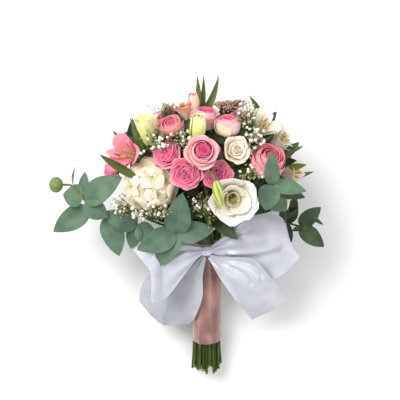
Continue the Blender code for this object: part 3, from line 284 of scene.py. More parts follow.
LEAVES = {
    "eucalyptus_left": (
        straight((-132, -1, 98), (-88.3, 26.2, 118), 31, (-0.3, 0.2, 0.95)),
        straight((-132, -1, 98), (-105, -20, 107), 27, (-0.2, -0.2, 1)),
        straight((-134, 2, 98), (-158, 7, 96), 28, (-0.1, 0.3, 0.95)),
        straight((-132, -1, 98), (-134, 33, 84), 17, (-0.5, 0.2, 0.8)),
        straight((-128, -9, 97), (-170, -37, 90), 27, (-0.2, -0.1, 1)),
        straight((-146.4, 17.6, 97), (-144.4, 38.8, 96), 8, (-1, 0, 0.35), 1),
        straight((-105, -17, 96), (-94, -65.6, 80), 28, (-0.1, -0.3, 0.95)),
        straight((-72, -28.6, 94), (-112, -14, 103), 26, (0, -0.2, 1)),
        straight((-72, -28.6, 94), (-50, -50, 100), 24, (-0.1, -0.3, 0.95)),
        straight((-72, -28.6, 94), (-80, -57, 84), 20, (-0.4, -0.2, 0.9)),
    ),
    "eucalyptus_front": (
        straight((-28.4, -37.5, 116), (-72, -57, 112), 28, (-0.1, -0.1, 1)),
        straight((-28.4, -37.5, 116), (-47.5, -76, 104), 27, (-0.2, -0.3, 0.95)),
        straight((-28.4, -37.5, 116), (17, -33, 121), 26, (0, -0.1, 1)),
        straight((-28.4, -37.5, 116), (-19.5, 8, 148), 30, (-0.1, -0.6, 0.85)),
    ),
    "eucalyptus_right": (
        straight((80, 18, 158), (78.6, 57.4, 184), 17, (-0.1, -0.5, 0.9)),
        straight((80, 18, 158), (118.4, 9.9, 148), 17, (0.2, 0.1, 1)),
        straight((80, 18, 158), (73, -12, 148), 25, (-0.3, -0.3, 0.9)),
        straight((76, 6, 140), (98, -12, 128), 22, (0.3, -0.3, 0.9)),
    ),
    "eucalyptus_low_right": (
        straight((117, -31, 85), (140, -8, 90), 19, (-0.2, 0.2, 1)),
        straight((117, -31, 85), (144.7, -55, 78), 20, (0.2, -0.2, 1)),
        straight((100, -26, 68), (112, 4, 84), 18, (0.1, 0, 1)),
        straight((100, -26, 68), (108, -50, 64), 10, (0.1, -0.2, 1)),
    ),
    "eucalyptus_back_left": (
        straight((-44, 24, 5), (-82, 10, 16), 26, (-0.2, 0, 1)),
        straight((-64, 65, 5), (-92, 82, 16), 24, (-0.3, 0.2, 1)),
        straight((-64, 65, 5), (-48, 98, 12), 22, (0, 0.3, 1)),
        straight((-34, -4, 20), (-68, -22, 28), 24, (-0.3, -0.2, 1)),
    ),
    "eucalyptus_back_right": (
        straight((54, 22, 5), (92, 8, 16), 26, (0.2, 0, 1)),
        straight((73, 63, 5), (100, 78, 16), 24, (0.3, 0.2, 1)),
        straight((73, 63, 5), (58, 98, 12), 22, (0, 0.3, 1)),
        straight((46, -4, 20), (78, -24, 28), 24, (0.3, -0.2, 1)),
    ),
    "alstroemeria_left_stem": (
        Leaf((-68, 48, 104), (-64, 52, 130), (-83.5, 89, 126), 8, (-0.3, -0.2, 0.9)),
        Leaf((-68, 48, 98), (-86, 60, 104), (-100, 80, 104), 8, (-0.3, 0.1, 0.9)),
        Leaf((-68, 44, 100), (-70, 22, 152), (-111, 50, 156), 9, (-0.1, -0.2, 1)),
    ),
    "alstroemeria_top_stem": (
        Leaf((-6, 84, 100), (2, 100, 92), (-3.4, 143, 106), 8, (0, -0.2, 1)),
        Leaf((-6, 84, 98), (6, 100, 88), (4, 144, 98), 7, (0, -0.2, 1)),
        Leaf((-6, 84, 100), (14, 104, 92), (21.6, 143, 106), 8, (0.1, -0.2, 1)),
    ),
    "alstroemeria_right_stem": (
        Leaf((66, 66, 108), (76, 96, 110), (55.6, 119, 118), 8, (-0.2, 0.3, 0.9)),
        Leaf((66, 66, 108), (104, 50, 92), (128, 65, 92), 8, (0.2, 0.1, 1)),
        Leaf((84, 30, 96), (110, 24, 92), (133, 33, 100), 7, (0.1, 0, 1)),
        Leaf((84, 30, 96), (100, 40, 112), (121, 41, 114), 7, (0, -0.2, 1)),
    ),
}

# The leaf of each back spray that lies flat on the surface: root, tip and width.
RESTING = {
    "eucalyptus_back_left": ((-56, 50, 4), (-97, 58, 0), 27),
    "eucalyptus_back_right": ((66, 48, 4), (107, 56, 0), 27),
}

# Clusters of tiny florets at the end of a thin stem: centre, spread and count.
CLUSTERS = {
    "gypsophila_left": (((-45, 68, 150), (16, 18, 8), 5),),
    "gypsophila_low": (((-60, -10, 142), (16, 10, 8), 3), ((-82, -4, 124), (12, 12, 8), 3)),
    "gypsophila_middle": (((4, -4, 144), (16, 12, 8), 5),),
    "gypsophila_right": (((62, 62, 160), (14, 18, 8), 3), ((50, 98, 146), (14, 10, 8), 3)),
    "limonium": (((38, 112, 128), (14, 8, 8), 5),),
}


def placing(origin, facing, turn=0.0):
    """The matrix, in millimetres, that puts a local +Z along facing at origin."""
    spin = Vector(facing).normalized().to_track_quat("Z", "Y").to_matrix().to_4x4()
    return Matrix.Translation(Vector(origin)) @ spin @ Matrix.Rotation(turn, 4, "Z")


def bezier(points, t):
    """The point at t of the cubic curve with these four control points."""
    weights = ((1 - t) ** 3, 3 * (1 - t) ** 2 * t, 3 * (1 - t) * t * t, t**3)
    return [sum(w * p[i] for w, p in zip(weights, points)) for i in range(len(points[0]))]


def flower_base(name):
    """Where the stem of a flower meets it, and the way that the flower faces."""
    if name in BALLS:
        ball = BALLS[name]
        outward = Vector(ball.facing).normalized()
        return Vector(ball.centre) - outward * ball.core * 0.96, outward
    flower = FLOWERS[name]
    outward = Vector(flower.facing).normalized()
    return Vector(flower.face) - outward * FORMS[flower.form].height * flower.size, outward


def sphere_points(count, facing, spread):
    """Directions on a golden spiral round facing, out to spread degrees from it."""
    lowest = math.cos(math.radians(spread))
    spin = placing((0, 0, 0), facing)
    found = []
    for number in range(count):
        z = 1 - (1 - lowest) * (number + 0.5) / count
        angle = number * math.pi * (3 - math.sqrt(5))
        flat = math.sqrt(1 - z * z)
        found.append(spin @ Vector((flat * math.cos(angle), flat * math.sin(angle), z)))
    return found


# Where the stems run, worked out as in the solids' source


def slot_place(slot, down, spread=1.0):
    """A point of the bundle: slot is (radius, angle), down is the distance below
    the neck along the handle."""
    radius, angle = slot
    across = SIDE * math.cos(angle) + FRONT * math.sin(angle)
    return NECK - AXIS * down + across * radius * spread


def heading(target):
    """How far a target lies off the handle's axis, and its angle round the axis."""
    away = Vector(target) - (NECK - AXIS * 40)
    ahead = away.dot(AXIS)
    across, front = away.dot(SIDE) / ahead, away.dot(FRONT) / ahead
    return math.hypot(across, front), math.atan2(front, across)


def spread_over(names, targets, slots):
    """Gives each stem of one ring the slot nearest to its own angle, keeping the
    stems' order round the ring."""
    ordered = sorted(names, key=lambda name: heading(targets[name])[1])

    def strain(shift):
        total = 0.0
        for number, name in enumerate(ordered):
            slot = slots[(number + shift) % len(slots)]
            off = heading(targets[name])[1] - slot[1]
            total += abs(math.remainder(off, 2 * math.pi)) ** 2
        return total

    best = min(range(len(slots)), key=strain)
    return {name: slots[(n + best) % len(slots)] for n, name in enumerate(ordered)}


def ring_of_slots(count, radius, turn):
    """Slots that are evenly spaced on a ring, the first one at the angle turn."""
    return [(radius, turn + 2 * math.pi * number / count) for number in range(count)]


def middle_of(points):
    """The mean of these points."""
    return sum((Vector(p) for p in points), Vector()) / len(points)


def choose_slots():
    """The slot of every stem: those that turn off most lie outermost."""
    targets = {
        stem: middle_of([flower_base(name)[0] for name in carried])
        for stem, carried in THICK_STEMS.items()
    }
    ordered = sorted(targets, key=lambda stem: heading(targets[stem])[0])
    chosen = {ordered[0]: (0.0, 0.0)}
    chosen.update(spread_over(ordered[1:7], targets, ring_of_slots(6, INNER_RING, 0.0)))
    chosen.update(
        spread_over(ordered[7:], targets, ring_of_slots(12, OUTER_RING, math.radians(15)))
    )
    thin = {stem: via[0] for stem, via in THIN_STEMS.items()}
    chosen.update(spread_over(list(thin), thin, ring_of_slots(12, THIN_RING, 0.0)))
    return chosen


# One run of a stem: its node, its points, which of them may move, and its radii.
Run = namedtuple("Run", "node points free radii")


def lead_in(slot, number):
    """The part of a stem from its cut end, through the wrap, to the neck."""
    cut = (NECK - HANDLE_END).length + END_STAGGER * math.sin(2.4 * number)
    return [
        slot_place(slot, cut, FLARE),
        slot_place(slot, WRAP_LENGTH + BEYOND_WRAP),
        slot_place(slot, -ABOVE_NECK),
    ]


def course(start, leaving, end, arriving, count):
    """Points between start and end on a cubic curve that leaves and arrives
    along the two given directions."""
    span = (end - start).length
    points = (start, start + leaving * span * 0.35, end - arriving * span * 0.3, end)
    return [Vector(bezier(points, (n + 1) / (count + 1))) for n in range(count)]


def stem_end(name):
    """Where the calyx of a flower starts, and the way that the flower faces."""
    base, facing = flower_base(name)
    return base - facing * GAP, facing


def has_sepals(name):
    """Whether a bloom shows sepals under its petals."""
    return name in FLOWERS and FORMS[FLOWERS[name].form].sepals > 0


def calyx(name):
    """The last points of a stem, and their radii, where it widens under a bloom."""
    top, facing = stem_end(name)
    size = FLOWERS[name].size if name in FLOWERS else 1.0
    last = top - facing * 1.2 if has_sepals(name) else top
    points = [top - facing * 12 * size, top - facing * 6 * size, last]
    return points, [BLOOM_STEM, BLOOM_STEM, 4.0 * size]


def single_run(stem, name, places, leaving):
    """A thick stem that carries one bloom."""
    head, widening = calyx(name)
    bends = course(places[-1], leaving, head[0], stem_end(name)[1], 3)
    radii = [STEM_RADIUS] * 3 + list(np.linspace(STEM_RADIUS, BLOOM_STEM, 5)[1:4]) + widening
    free = [False] * 3 + [True] * 3 + [False] * 3
    return Run(stem, places + bends + head, free, radii)


def forked_runs(stem, carried, places, leaving):
    """A thick stem that forks, with a branch to each of its blooms."""
    heads = [calyx(name) for name in carried]
    fork = places[-1].lerp(middle_of([head[0][0] for head in heads]), 0.72)
    runs = []
    for number, (name, (head, widening)) in enumerate(zip(carried, heads)):
        radii = [BRANCH_STEM] * 2 + [min(BRANCH_STEM, wide) for wide in widening[:2]] + widening[2:]
        bends = course(fork, leaving, head[0], stem_end(name)[1], 1)
        run = Run(stem, [fork] + bends + head, [False, True, False, False, False], radii)
        if number == 0:
            lower = course(places[-1], leaving, fork, leaving, 2)
            run = Run(
                stem, places + lower + run.points, [False] * 3 + [True] * 2 + run.free,
                [STEM_RADIUS] * 3 + [2.6, 2.4] + [BLOOM_STEM] + run.radii[1:],
            )
        runs.append(run)
    return runs


def stem_runs(slots):
    """All the stems' runs, before they are eased apart."""
    runs = []
    for number, (stem, carried) in enumerate(THICK_STEMS.items()):
        places = lead_in(slots[stem], number)
        leaving = (slot_place(slots[stem], -60, 2.2) - places[-1]).normalized()
        if len(carried) == 1:
            runs.append(single_run(stem, carried[0], places, leaving))
        else:
            runs += forked_runs(stem, carried, places, leaving)
        if stem == "lisianthus_front_stem":
            via = [Vector(point) for point in NODDING_BUD]
            bends = course(places[-1], leaving, via[0], Vector((0, 0, 1)), 2)
            free = [False] + [True] * 2 + [False] * len(via)
            radii = [THIN_RADIUS] * 3 + [TWIG_RADIUS] * len(via)
            runs.append(Run(stem, [places[-1]] + bends + via, free, radii))
    for number, (stem, via) in enumerate(THIN_STEMS.items()):
        places = lead_in(slots[stem], number + 3)
        via = [Vector(point) for point in via]
        leaving = (slot_place(slots[stem], -60, 2.2) - places[-1]).normalized()
        bends = course(places[-1], leaving, via[0], (via[1] - via[0]).normalized(), 2)
        held = [False] if stem in CLUSTERS else [False] * len(via)
        free = [False] * 3 + [True] * (len(via) + 2 - len(held)) + held
        radii = [THIN_RADIUS] * 5 + [TWIG_RADIUS] * len(via)
        runs.append(Run(stem, places + bends + via, free, radii))
    return runs


def nearest(p1, d1, p2, d2):
    """Where pairs of segments come nearest, as shares of their lengths."""
    between = p1 - p2
    a = np.einsum("ij,ij->i", d1, d1)
    e = np.einsum("ij,ij->i", d2, d2)
    f = np.einsum("ij,ij->i", d2, between)
    b = np.einsum("ij,ij->i", d1, d2)
    c = np.einsum("ij,ij->i", d1, between)
    s = np.clip((b * f - c * e) / np.maximum(a * e - b * b, 1e-9), 0, 1)
    t = np.clip((b * s + f) / e, 0, 1)
    s = np.clip((b * t - c) / a, 0, 1)
    return s, t


# How many times the stems are moved apart, a little each time
EASING_ROUNDS = 500


def keep_out(nodes):
    """The balls that stems keep out of: their centres, radii and own stem nodes."""
    carrier = {name: stem for stem, carried in THICK_STEMS.items() for name in carried}
    centres, reach, kept = [], [], []
    for name, flower in FLOWERS.items():
        height, radius = FORMS[flower.form].clear
        base, facing = flower_base(name)
        centres.append(base + facing * height * flower.size)
        reach.append(radius * flower.size)
        kept.append(nodes.index(carrier[name]))
    for name, ball in BALLS.items():
        centres.append(Vector(ball.centre))
        reach.append(ball.core + 8.0)
        kept.append(nodes.index(carrier[name]))
    return np.array(centres, float), np.array(reach, float), np.array(kept)


def ease_apart(runs):
    """Moves the free points until no stem touches another node's stem or bloom."""
    points = np.array([p for run in runs for p in run.points], float)
    free = np.array([f for run in runs for f in run.free], float)
    radii = np.array([r for run in runs for r in run.radii], float)
    nodes = sorted({run.node for run in runs})
    starts = []
    owner = []
    total = 0
    for run in runs:
        starts += range(total, total + len(run.points) - 1)
        owner += [nodes.index(run.node)] * (len(run.points) - 1)
        total += len(run.points)
    starts, owner = np.array(starts), np.array(owner)
    i, j = np.triu_indices(len(starts), 1)
    apart = owner[i] != owner[j]
    i, j = i[apart], j[apart]
    centres, reach, kept = keep_out(nodes)
    k, m = np.meshgrid(np.arange(len(starts)), np.arange(len(centres)), indexing="ij")
    k, m = k.ravel(), m.ravel()
    other = owner[k] != kept[m]
    k, m = k[other], m[other]
    inner = np.flatnonzero(free)
    thick = np.maximum(radii[starts], radii[starts + 1])
    for turn in range(EASING_ROUNDS):
        moves = np.zeros_like(points)
        first = points[starts]
        along = points[starts + 1] - first
        s, t = nearest(first[i], along[i], first[j], along[j])
        off = first[i] + along[i] * s[:, None] - first[j] - along[j] * t[:, None]
        distance = np.linalg.norm(off, axis=1) + 1e-9
        lack = np.maximum(thick[i] + thick[j] + GAP + 0.15 - distance, 0)
        push = off * (0.35 * lack / distance)[:, None]
        for ends, share in ((starts[i], 1 - s), (starts[i] + 1, s)):
            np.add.at(moves, ends, push * share[:, None])
        for ends, share in ((starts[j], 1 - t), (starts[j] + 1, t)):
            np.add.at(moves, ends, -push * share[:, None])
        share = np.einsum("ij,ij->i", centres[m] - first[k], along[k])
        share = np.clip(share / np.einsum("ij,ij->i", along[k], along[k]), 0, 1)
        off = first[k] + along[k] * share[:, None] - centres[m]
        distance = np.linalg.norm(off, axis=1) + 1e-9
        lack = np.maximum(reach[m] + thick[k] + GAP - distance, 0)
        push = off * (0.5 * lack / distance)[:, None]
        np.add.at(moves, starts[k], push * (1 - share)[:, None])
        np.add.at(moves, starts[k] + 1, push * share[:, None])
        if turn < EASING_ROUNDS * 0.8:
            even = (points[inner - 1] + points[inner + 1]) / 2 - points[inner]
            moves[inner] += 0.06 * even
        points += moves * free[:, None]
    eased = []
    total = 0
    for run in runs:
        own = [Vector(p) for p in points[total : total + len(run.points)]]
        eased.append(run._replace(points=own))
        total += len(run.points)
    return eased


def tilted(leaf, lift, swing):
    """The leaf turned about its root, up or down and to one side, in degrees."""
    root = Vector(leaf.root)
    face = Vector(leaf.facing).normalized()
    along = (Vector(leaf.tip) - root).normalized()
    turn = Matrix.Rotation(math.radians(lift), 3, along.cross(face).normalized())
    turn = turn @ Matrix.Rotation(math.radians(swing), 3, face)
    return leaf._replace(
        bend=root + turn @ (Vector(leaf.bend) - root),
        tip=root + turn @ (Vector(leaf.tip) - root),
        facing=turn @ face,
    )


def rooted(leaf, runs):
    """The leaf with its root on the nearest point of its stem."""
    root = Vector(leaf.root)
    found = []
    for run in runs:
        for start, end in zip(run.points, run.points[1:]):
            share = intersect_point_line(root, start, end)[1]
            most = 1 - 1.5 / (end - start).length
            found.append(start.lerp(end, min(max(share, 0), most)))
    return leaf._replace(root=min(found, key=lambda point: (point - root).length))


def smooth(points, count):
    """Points on the Catmull-Rom curve through these."""
    points = [Vector(p) for p in points]
    padded = [points[0] * 2 - points[1]] + points + [points[-1] * 2 - points[-2]]
    found = []
    for step in range(count):
        place = step / (count - 1) * (len(points) - 1)
        cell = min(int(place), len(points) - 2)
        t = place - cell
        a, b, c, d = padded[cell : cell + 4]
        bend = (a * 2 - b * 5 + c * 4 - d) * t * t + (b * 3 - a - c * 3 + d) * t**3
        found.append((b * 2 + (c - a) * t + bend) / 2)
    return found


# The bow's ribbons: each is three lines that run lengthwise, along one edge, the
# middle and the other edge, from the knot out. A loop's lines come back to the knot.
KNOT = NECK - AXIS * 8.8 + FRONT * 25.5
KNOT_RADII = (7.5, 6.5, 6.2)
RIBBONS = {
    "left_loop": (
        (
            (4, -55, 87), (-20, -48, 98), (-50, -48, 100), (-76, -57, 90), (-60, -58, 74),
            (-26, -56, 76), (2, -57, 83),
        ),
        (
            (4, -58, 88), (-20, -66, 101), (-42, -78, 103), (-57, -87, 92), (-46, -82, 72),
            (-24, -70, 75), (2, -59, 83),
        ),
        (
            (4, -61, 86), (-14, -82, 93), (-36, -110, 94), (-48, -116, 84), (-38, -106, 72),
            (-18, -84, 76), (2, -61, 83),
        ),
    ),
    "right_loop": (
        (
            (10, -55, 86), (32, -36, 101), (62, -15, 107), (88, -17, 103), (99, -29, 94),
            (82, -40, 80), (44, -48, 78), (13, -57, 83),
        ),
        (
            (11, -58, 88), (34, -52, 102), (68, -48, 107), (96, -47, 103), (105, -50, 94),
            (86, -60, 78), (46, -60, 77), (13, -59, 83),
        ),
        (
            (11, -61, 86), (34, -72, 92), (66, -88, 88), (92, -89, 88), (115, -66, 92),
            (92, -84, 78), (46, -72, 76), (13, -61, 83),
        ),
    ),
    "left_tail": (
        ((2, -62, 83), (-30, -70, 71), (-60, -88, 56), (-71, -107, 46), (-72, -121, 40)),
        ((4, -65, 83), (-18, -88, 73), (-36, -112, 54), (-46, -134, 42), (-48, -147, 38)),
        ((7, -67, 84), (3, -90, 78), (3, -114, 69), (-5, -137, 58), (-13, -148, 46)),
    ),
    "right_tail": (
        ((12, -63, 86), (35, -66, 100), (62, -68, 106), (82, -90, 96), (105, -119, 56)),
        ((11, -66, 86), (31, -80, 99), (54, -94, 101), (70, -111, 84), (84, -132, 52)),
        ((9, -68, 84), (24, -93, 86), (41, -116, 78), (51, -129, 64), (62, -143, 48)),
    ),
}

# Meshes


def grid(bm, across, along, place, thickness, inside=None, **marks):
    """Adds a thin closed blade to bm: a grid whose points (s, t), s from -1 to 1 and
    t from 0 to 1, are moved to place(s, t), and which is then given a thickness.
    The marks are attributes that its material reads; inside is the tone of the side
    that faces away from the normals."""
    verts = bmesh.ops.create_grid(
        bm, x_segments=across, y_segments=along, size=1.0, calc_uvs=True
    )["verts"]
    for vert in verts:
        vert.co = place(vert.co.x, (vert.co.y + 1) / 2)
    bmesh.ops.remove_doubles(bm, verts=verts, dist=0.02)
    verts = [vert for vert in verts if vert.is_valid]
    # A dict keeps its order, so that every run numbers the blade's faces the same way
    faces = list(dict.fromkeys(face for vert in verts for face in vert.link_faces))
    first_side = set(verts)
    if thickness:
        made = bmesh.ops.solidify(bm, geom=faces, thickness=thickness)["geom"]
        faces += [item for item in made if isinstance(item, bmesh.types.BMFace)]
    bmesh.ops.recalc_face_normals(bm, faces=faces)
    verts = {vert for face in faces for vert in face.verts}
    for mark, value in marks.items():
        layer = bm.verts.layers.float.get(mark)
        for vert in verts:
            vert[layer] = value
    if inside is not None:
        layer = bm.verts.layers.float["tone"]
        for vert in verts - first_side:
            vert[layer] = inside


def new_mesh(*marks):
    """An empty bmesh with a UV map and these attributes."""
    bm = bmesh.new()
    bm.loops.layers.uv.new("blade")
    for mark in marks:
        bm.verts.layers.float.new(mark)
    return bm


def finished(bm, name, finish, slot, nodes=()):
    """The bmesh, in millimetres, as a piece in metres that rides on the bouquet."""
    bmesh.ops.translate(bm, vec=-MIDDLE, verts=bm.verts[:])
    bmesh.ops.scale(bm, vec=(METRES, METRES, METRES), verts=bm.verts[:])
    mesh = bpy.data.meshes.new(name)
    bm.to_mesh(mesh)
    bm.free()
    mesh.shade_smooth()
    mesh.set_sharp_from_angle(angle=math.radians(SMOOTH_UP_TO))
    mesh.materials.append(finish)
    piece = bpy.data.objects.new(name, mesh)
    bpy.context.scene.collection.objects.link(piece)
    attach(piece, BODY)
    if nodes:
        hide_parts(*nodes)
    return piece


def rods(bm, courses, sides=12):
    """Adds round closed rods to bm, each through its (points, radii)."""
    curve = bpy.data.curves.new("rods", "CURVE")
    curve.dimensions = "3D"
    curve.bevel_depth = METRES
    curve.bevel_resolution = (sides - 4) // 2
    curve.use_fill_caps = True
    for points, radii in courses:
        spline = curve.splines.new("POLY")
        spline.points.add(len(points) - 1)
        for point, place, radius in zip(spline.points, points, radii):
            point.co = (*(Vector(place) * METRES), 1.0)
            point.radius = radius
    rod = bpy.data.objects.new("rods", curve)
    bpy.context.scene.collection.objects.link(rod)
    bpy.context.view_layer.update()
    evaluated = rod.evaluated_get(bpy.context.evaluated_depsgraph_get())
    mesh = bpy.data.meshes.new_from_object(evaluated)
    bpy.data.objects.remove(rod, do_unlink=True)
    bpy.data.curves.remove(curve)
    mesh.transform(Matrix.Scale(1 / METRES, 4))
    before = len(bm.verts)
    bm.from_mesh(mesh)
    bpy.data.meshes.remove(mesh)
    bm.verts.ensure_lookup_table()
    verts = bm.verts[before:]
    bmesh.ops.remove_doubles(bm, verts=verts, dist=0.001)
    return [vert for vert in verts if vert.is_valid]


def rounded(points, radii, rounds=2):
    """The course with its corners cut, so that a rod bends and doesn't kink."""
    for _ in range(rounds):
        course_points, course_radii = [points[0]], [radii[0]]
        for a, b, wide, next_wide in zip(points, points[1:], radii, radii[1:]):
            course_points += [a.lerp(b, 0.25), a.lerp(b, 0.75)]
            course_radii += [wide * 0.75 + next_wide * 0.25, wide * 0.25 + next_wide * 0.75]
        points = course_points + [points[-1]]
        radii = course_radii + [radii[-1]]
    return points, radii


# Room: the solids of the other nodes, which leaves and florets keep clear of


def node_trees():
    """A search tree for each node's solid, in the working frame."""
    trees = {}
    for name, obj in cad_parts.items():
        bm = bmesh.new()
        bm.from_mesh(obj.data)
        bmesh.ops.scale(bm, vec=(1 / METRES,) * 3, verts=bm.verts[:])
        bmesh.ops.translate(bm, vec=MIDDLE, verts=bm.verts[:])
        trees[name] = BVHTree.FromBMesh(bm)
        bm.free()
    return trees


TREES = node_trees()


def is_clear(node, bm):
    """Whether this shape of a node keeps clear of every other node and the surface."""
    bm.normal_update()
    lowest = min(vert.co.z for vert in bm.verts)
    for vert in bm.verts:
        vert.co += vert.normal * GAP
    tree = BVHTree.FromBMesh(bm)
    others = [other for name, other in TREES.items() if name != node]
    return lowest > CLEARANCE and not any(tree.overlap(other) for other in others)


def room_at(point, node):
    """How far a point is from the nearest solid, leaving out its own node."""
    return min(tree.find_nearest(point)[3] for name, tree in TREES.items() if name != node)


# Finishes

FADED_CREAM = "#F3E7BC"
PITH = "#9DAE5E"


def daylight(code):
    """An sRGB hex colour as linear red, green, blue and alpha."""
    channels = [int(code[place : place + 2], 16) / 255 for place in (1, 3, 5)]
    linear = [c / 12.92 if c <= 0.04045 else ((c + 0.055) / 1.055) ** 2.4 for c in channels]
    return (*linear, 1.0)


def add(tree, kind, inputs, stops=(), output=0, **settings):
    """Adds a node with its settings and returns its output. An input is a value, a
    hex colour or another node's output; stops are a colour ramp's."""
    made = tree.nodes.new("ShaderNode" + kind)
    for name, value in settings.items():
        setattr(made, name, value)
    for name, value in inputs.items():
        if isinstance(value, bpy.types.NodeSocket):
            tree.links.new(value, made.inputs[name])
        else:
            made.inputs[name].default_value = daylight(value) if isinstance(value, str) else value
    for number, (position, code) in enumerate(stops):
        ramp = made.color_ramp.elements
        stop = ramp[number] if number < 2 else ramp.new(position)
        stop.position = position
        stop.color = daylight(code)
    return made.outputs[output]


# How a Mix node is added that blends two colours, and one that multiplies them. Its
# inputs 0, 6 and 7 are how far it goes and the two colours.
MIX = {"output": 2, "data_type": "RGBA"}
MULTIPLY = {**MIX, "blend_type": "MULTIPLY"}


def finish_of(name, **sockets):
    """A new material, its node tree and its Principled shader with these sockets."""
    made = bpy.data.materials.new(name)
    made.use_nodes = True
    shader = made.node_tree.nodes["Principled BSDF"]
    for socket, value in sockets.items():
        shader.inputs[socket.replace("_", " ")].default_value = value
    return made, made.node_tree, shader


def surfaced(tree, shader, colour, height, distance, strength):
    """Gives the shader its colour, and a relief of height over so many millimetres."""
    tree.links.new(colour, shader.inputs["Base Color"])
    relief = add(
        tree, "Bump", {"Height": height, "Distance": distance * METRES, "Strength": strength}
    )
    tree.links.new(relief, shader.inputs["Normal"])


def streaks(tree, uv, across, along):
    """Uneven streaks that run from root to tip, so many across and along a blade."""
    drawn = add(tree, "Mapping", {"Vector": uv, "Scale": (across, along, 1.0)})
    return add(tree, "TexNoise", {"Vector": drawn, "Scale": 1.0, "Detail": 2.0})


def petal_finish(name, inmost, outmost, stripes=None):
    """A fresh petal. Velvety cells give it a soft sheen, light glows through it, and
    fine veins run from its root to its rim. inmost and outmost are its colours at the
    root, middle and rim, in the flower's heart and on its outermost whorl; a petal
    marked pale fades to greenish cream. stripes is the colour of the short streaks on
    the inner petals of an alstroemeria."""
    made, tree, shader = finish_of(
        name, Roughness=0.6, Subsurface_Weight=0.2, Subsurface_Scale=0.003,
        Sheen_Weight=0.08, Sheen_Roughness=0.5, Specular_IOR_Level=0.25,
    )
    shader.inputs["Subsurface Radius"].default_value = (1.0, 0.5, 0.5)
    uv = add(tree, "UVMap", {}, uv_map="blade")
    along = add(tree, "SeparateXYZ", {"Vector": uv}, output=1)
    tone = add(tree, "Attribute", {}, output=2, attribute_name="tone")
    pale = add(tree, "Attribute", {}, output=2, attribute_name="pale")
    places = (0.15, 0.6, 0.97)
    inner = add(tree, "ValToRGB", {"Fac": along}, tuple(zip(places, inmost)))
    outer = add(tree, "ValToRGB", {"Fac": along}, tuple(zip(places, outmost)))
    colour = add(tree, "Mix", {0: tone, 6: inner, 7: outer}, **MIX)
    colour = add(tree, "Mix", {0: pale, 6: colour, 7: FADED_CREAM}, **MIX)
    veins = streaks(tree, uv, 26.0, 2.0)
    shade = add(tree, "ValToRGB", {"Fac": veins}, ((0.3, "#F0E6EA"), (0.7, "#FFFFFF")))
    colour = add(tree, "Mix", {0: 0.6, 6: colour, 7: shade}, **MULTIPLY)
    if stripes:
        mask = streaks(tree, uv, 15.0, 5.0)
        mask = add(tree, "ValToRGB", {"Fac": mask}, ((0.5, "#000000"), (0.54, "#FFFFFF")))
        for factor, stops in (
            (along, ((0.26, "#000000"), (0.36, "#FFFFFF"), (0.78, "#FFFFFF"), (0.88, "#000000"))),
            (tone, ((0.1, "#FFFFFF"), (0.3, "#000000"))),
        ):
            window = add(tree, "ValToRGB", {"Fac": factor}, stops)
            mask = add(tree, "Mix", {0: 1.0, 6: mask, 7: window}, **MULTIPLY)
        colour = add(tree, "Mix", {0: mask, 6: colour, 7: stripes}, **MIX)
    surfaced(tree, shader, colour, veins, 0.25, 0.3)
    return made


def leaf_finish(name, face, dark, pale, rib, rib_shows="#4A4A4A", roughness=0.6, coat=0.0):
    """A leaf with a pale midrib and side veins. A blue-grey leaf has a waxy bloom that
    keeps it matt; a green one is a little glossy."""
    made, tree, shader = finish_of(
        name, Roughness=roughness, Coat_Weight=coat, Coat_Roughness=0.4,
        Specular_IOR_Level=0.35, Sheen_Weight=0.05,
    )
    uv = add(tree, "UVMap", {}, uv_map="blade")
    across = add(tree, "SeparateXYZ", {"Vector": uv}, output=0)
    along = add(tree, "SeparateXYZ", {"Vector": uv}, output=1)
    aside = add(tree, "Math", {0: across, 1: 0.5}, operation="SUBTRACT")
    aside = add(tree, "Math", {0: aside}, operation="ABSOLUTE")
    waves = add(tree, "Math", {0: aside, 1: -0.9, 2: along}, operation="MULTIPLY_ADD")
    waves = add(tree, "Math", {0: waves, 1: 58.0}, operation="MULTIPLY")
    waves = add(tree, "Math", {0: waves}, operation="SINE")
    place = add(tree, "TexCoord", {}, output=3)
    mottle = add(tree, "TexNoise", {"Vector": place, "Scale": 60.0, "Detail": 4.0})
    tone = add(tree, "Attribute", {}, output=2, attribute_name="tone")
    colour = add(tree, "ValToRGB", {"Fac": mottle}, ((0.32, dark), (0.5, face), (0.7, pale)))
    aged = add(tree, "Mix", {0: tone, 6: dark, 7: pale}, **MIX)
    colour = add(tree, "Mix", {0: 0.4, 6: colour, 7: aged}, **MIX)
    veins = add(tree, "ValToRGB", {"Fac": waves}, ((0.88, "#FFFFFF"), (0.99, "#E0E4DD")))
    colour = add(tree, "Mix", {0: 0.45, 6: colour, 7: veins}, **MULTIPLY)
    midrib = add(tree, "ValToRGB", {"Fac": aside}, ((0.006, rib_shows), (0.03, "#000000")))
    colour = add(tree, "Mix", {0: midrib, 6: colour, 7: rib}, **MIX)
    height = add(tree, "Math", {0: waves, 1: -0.12, 2: aside}, operation="MULTIPLY_ADD")
    surfaced(tree, shader, colour, height, 0.5, 0.4)
    return made


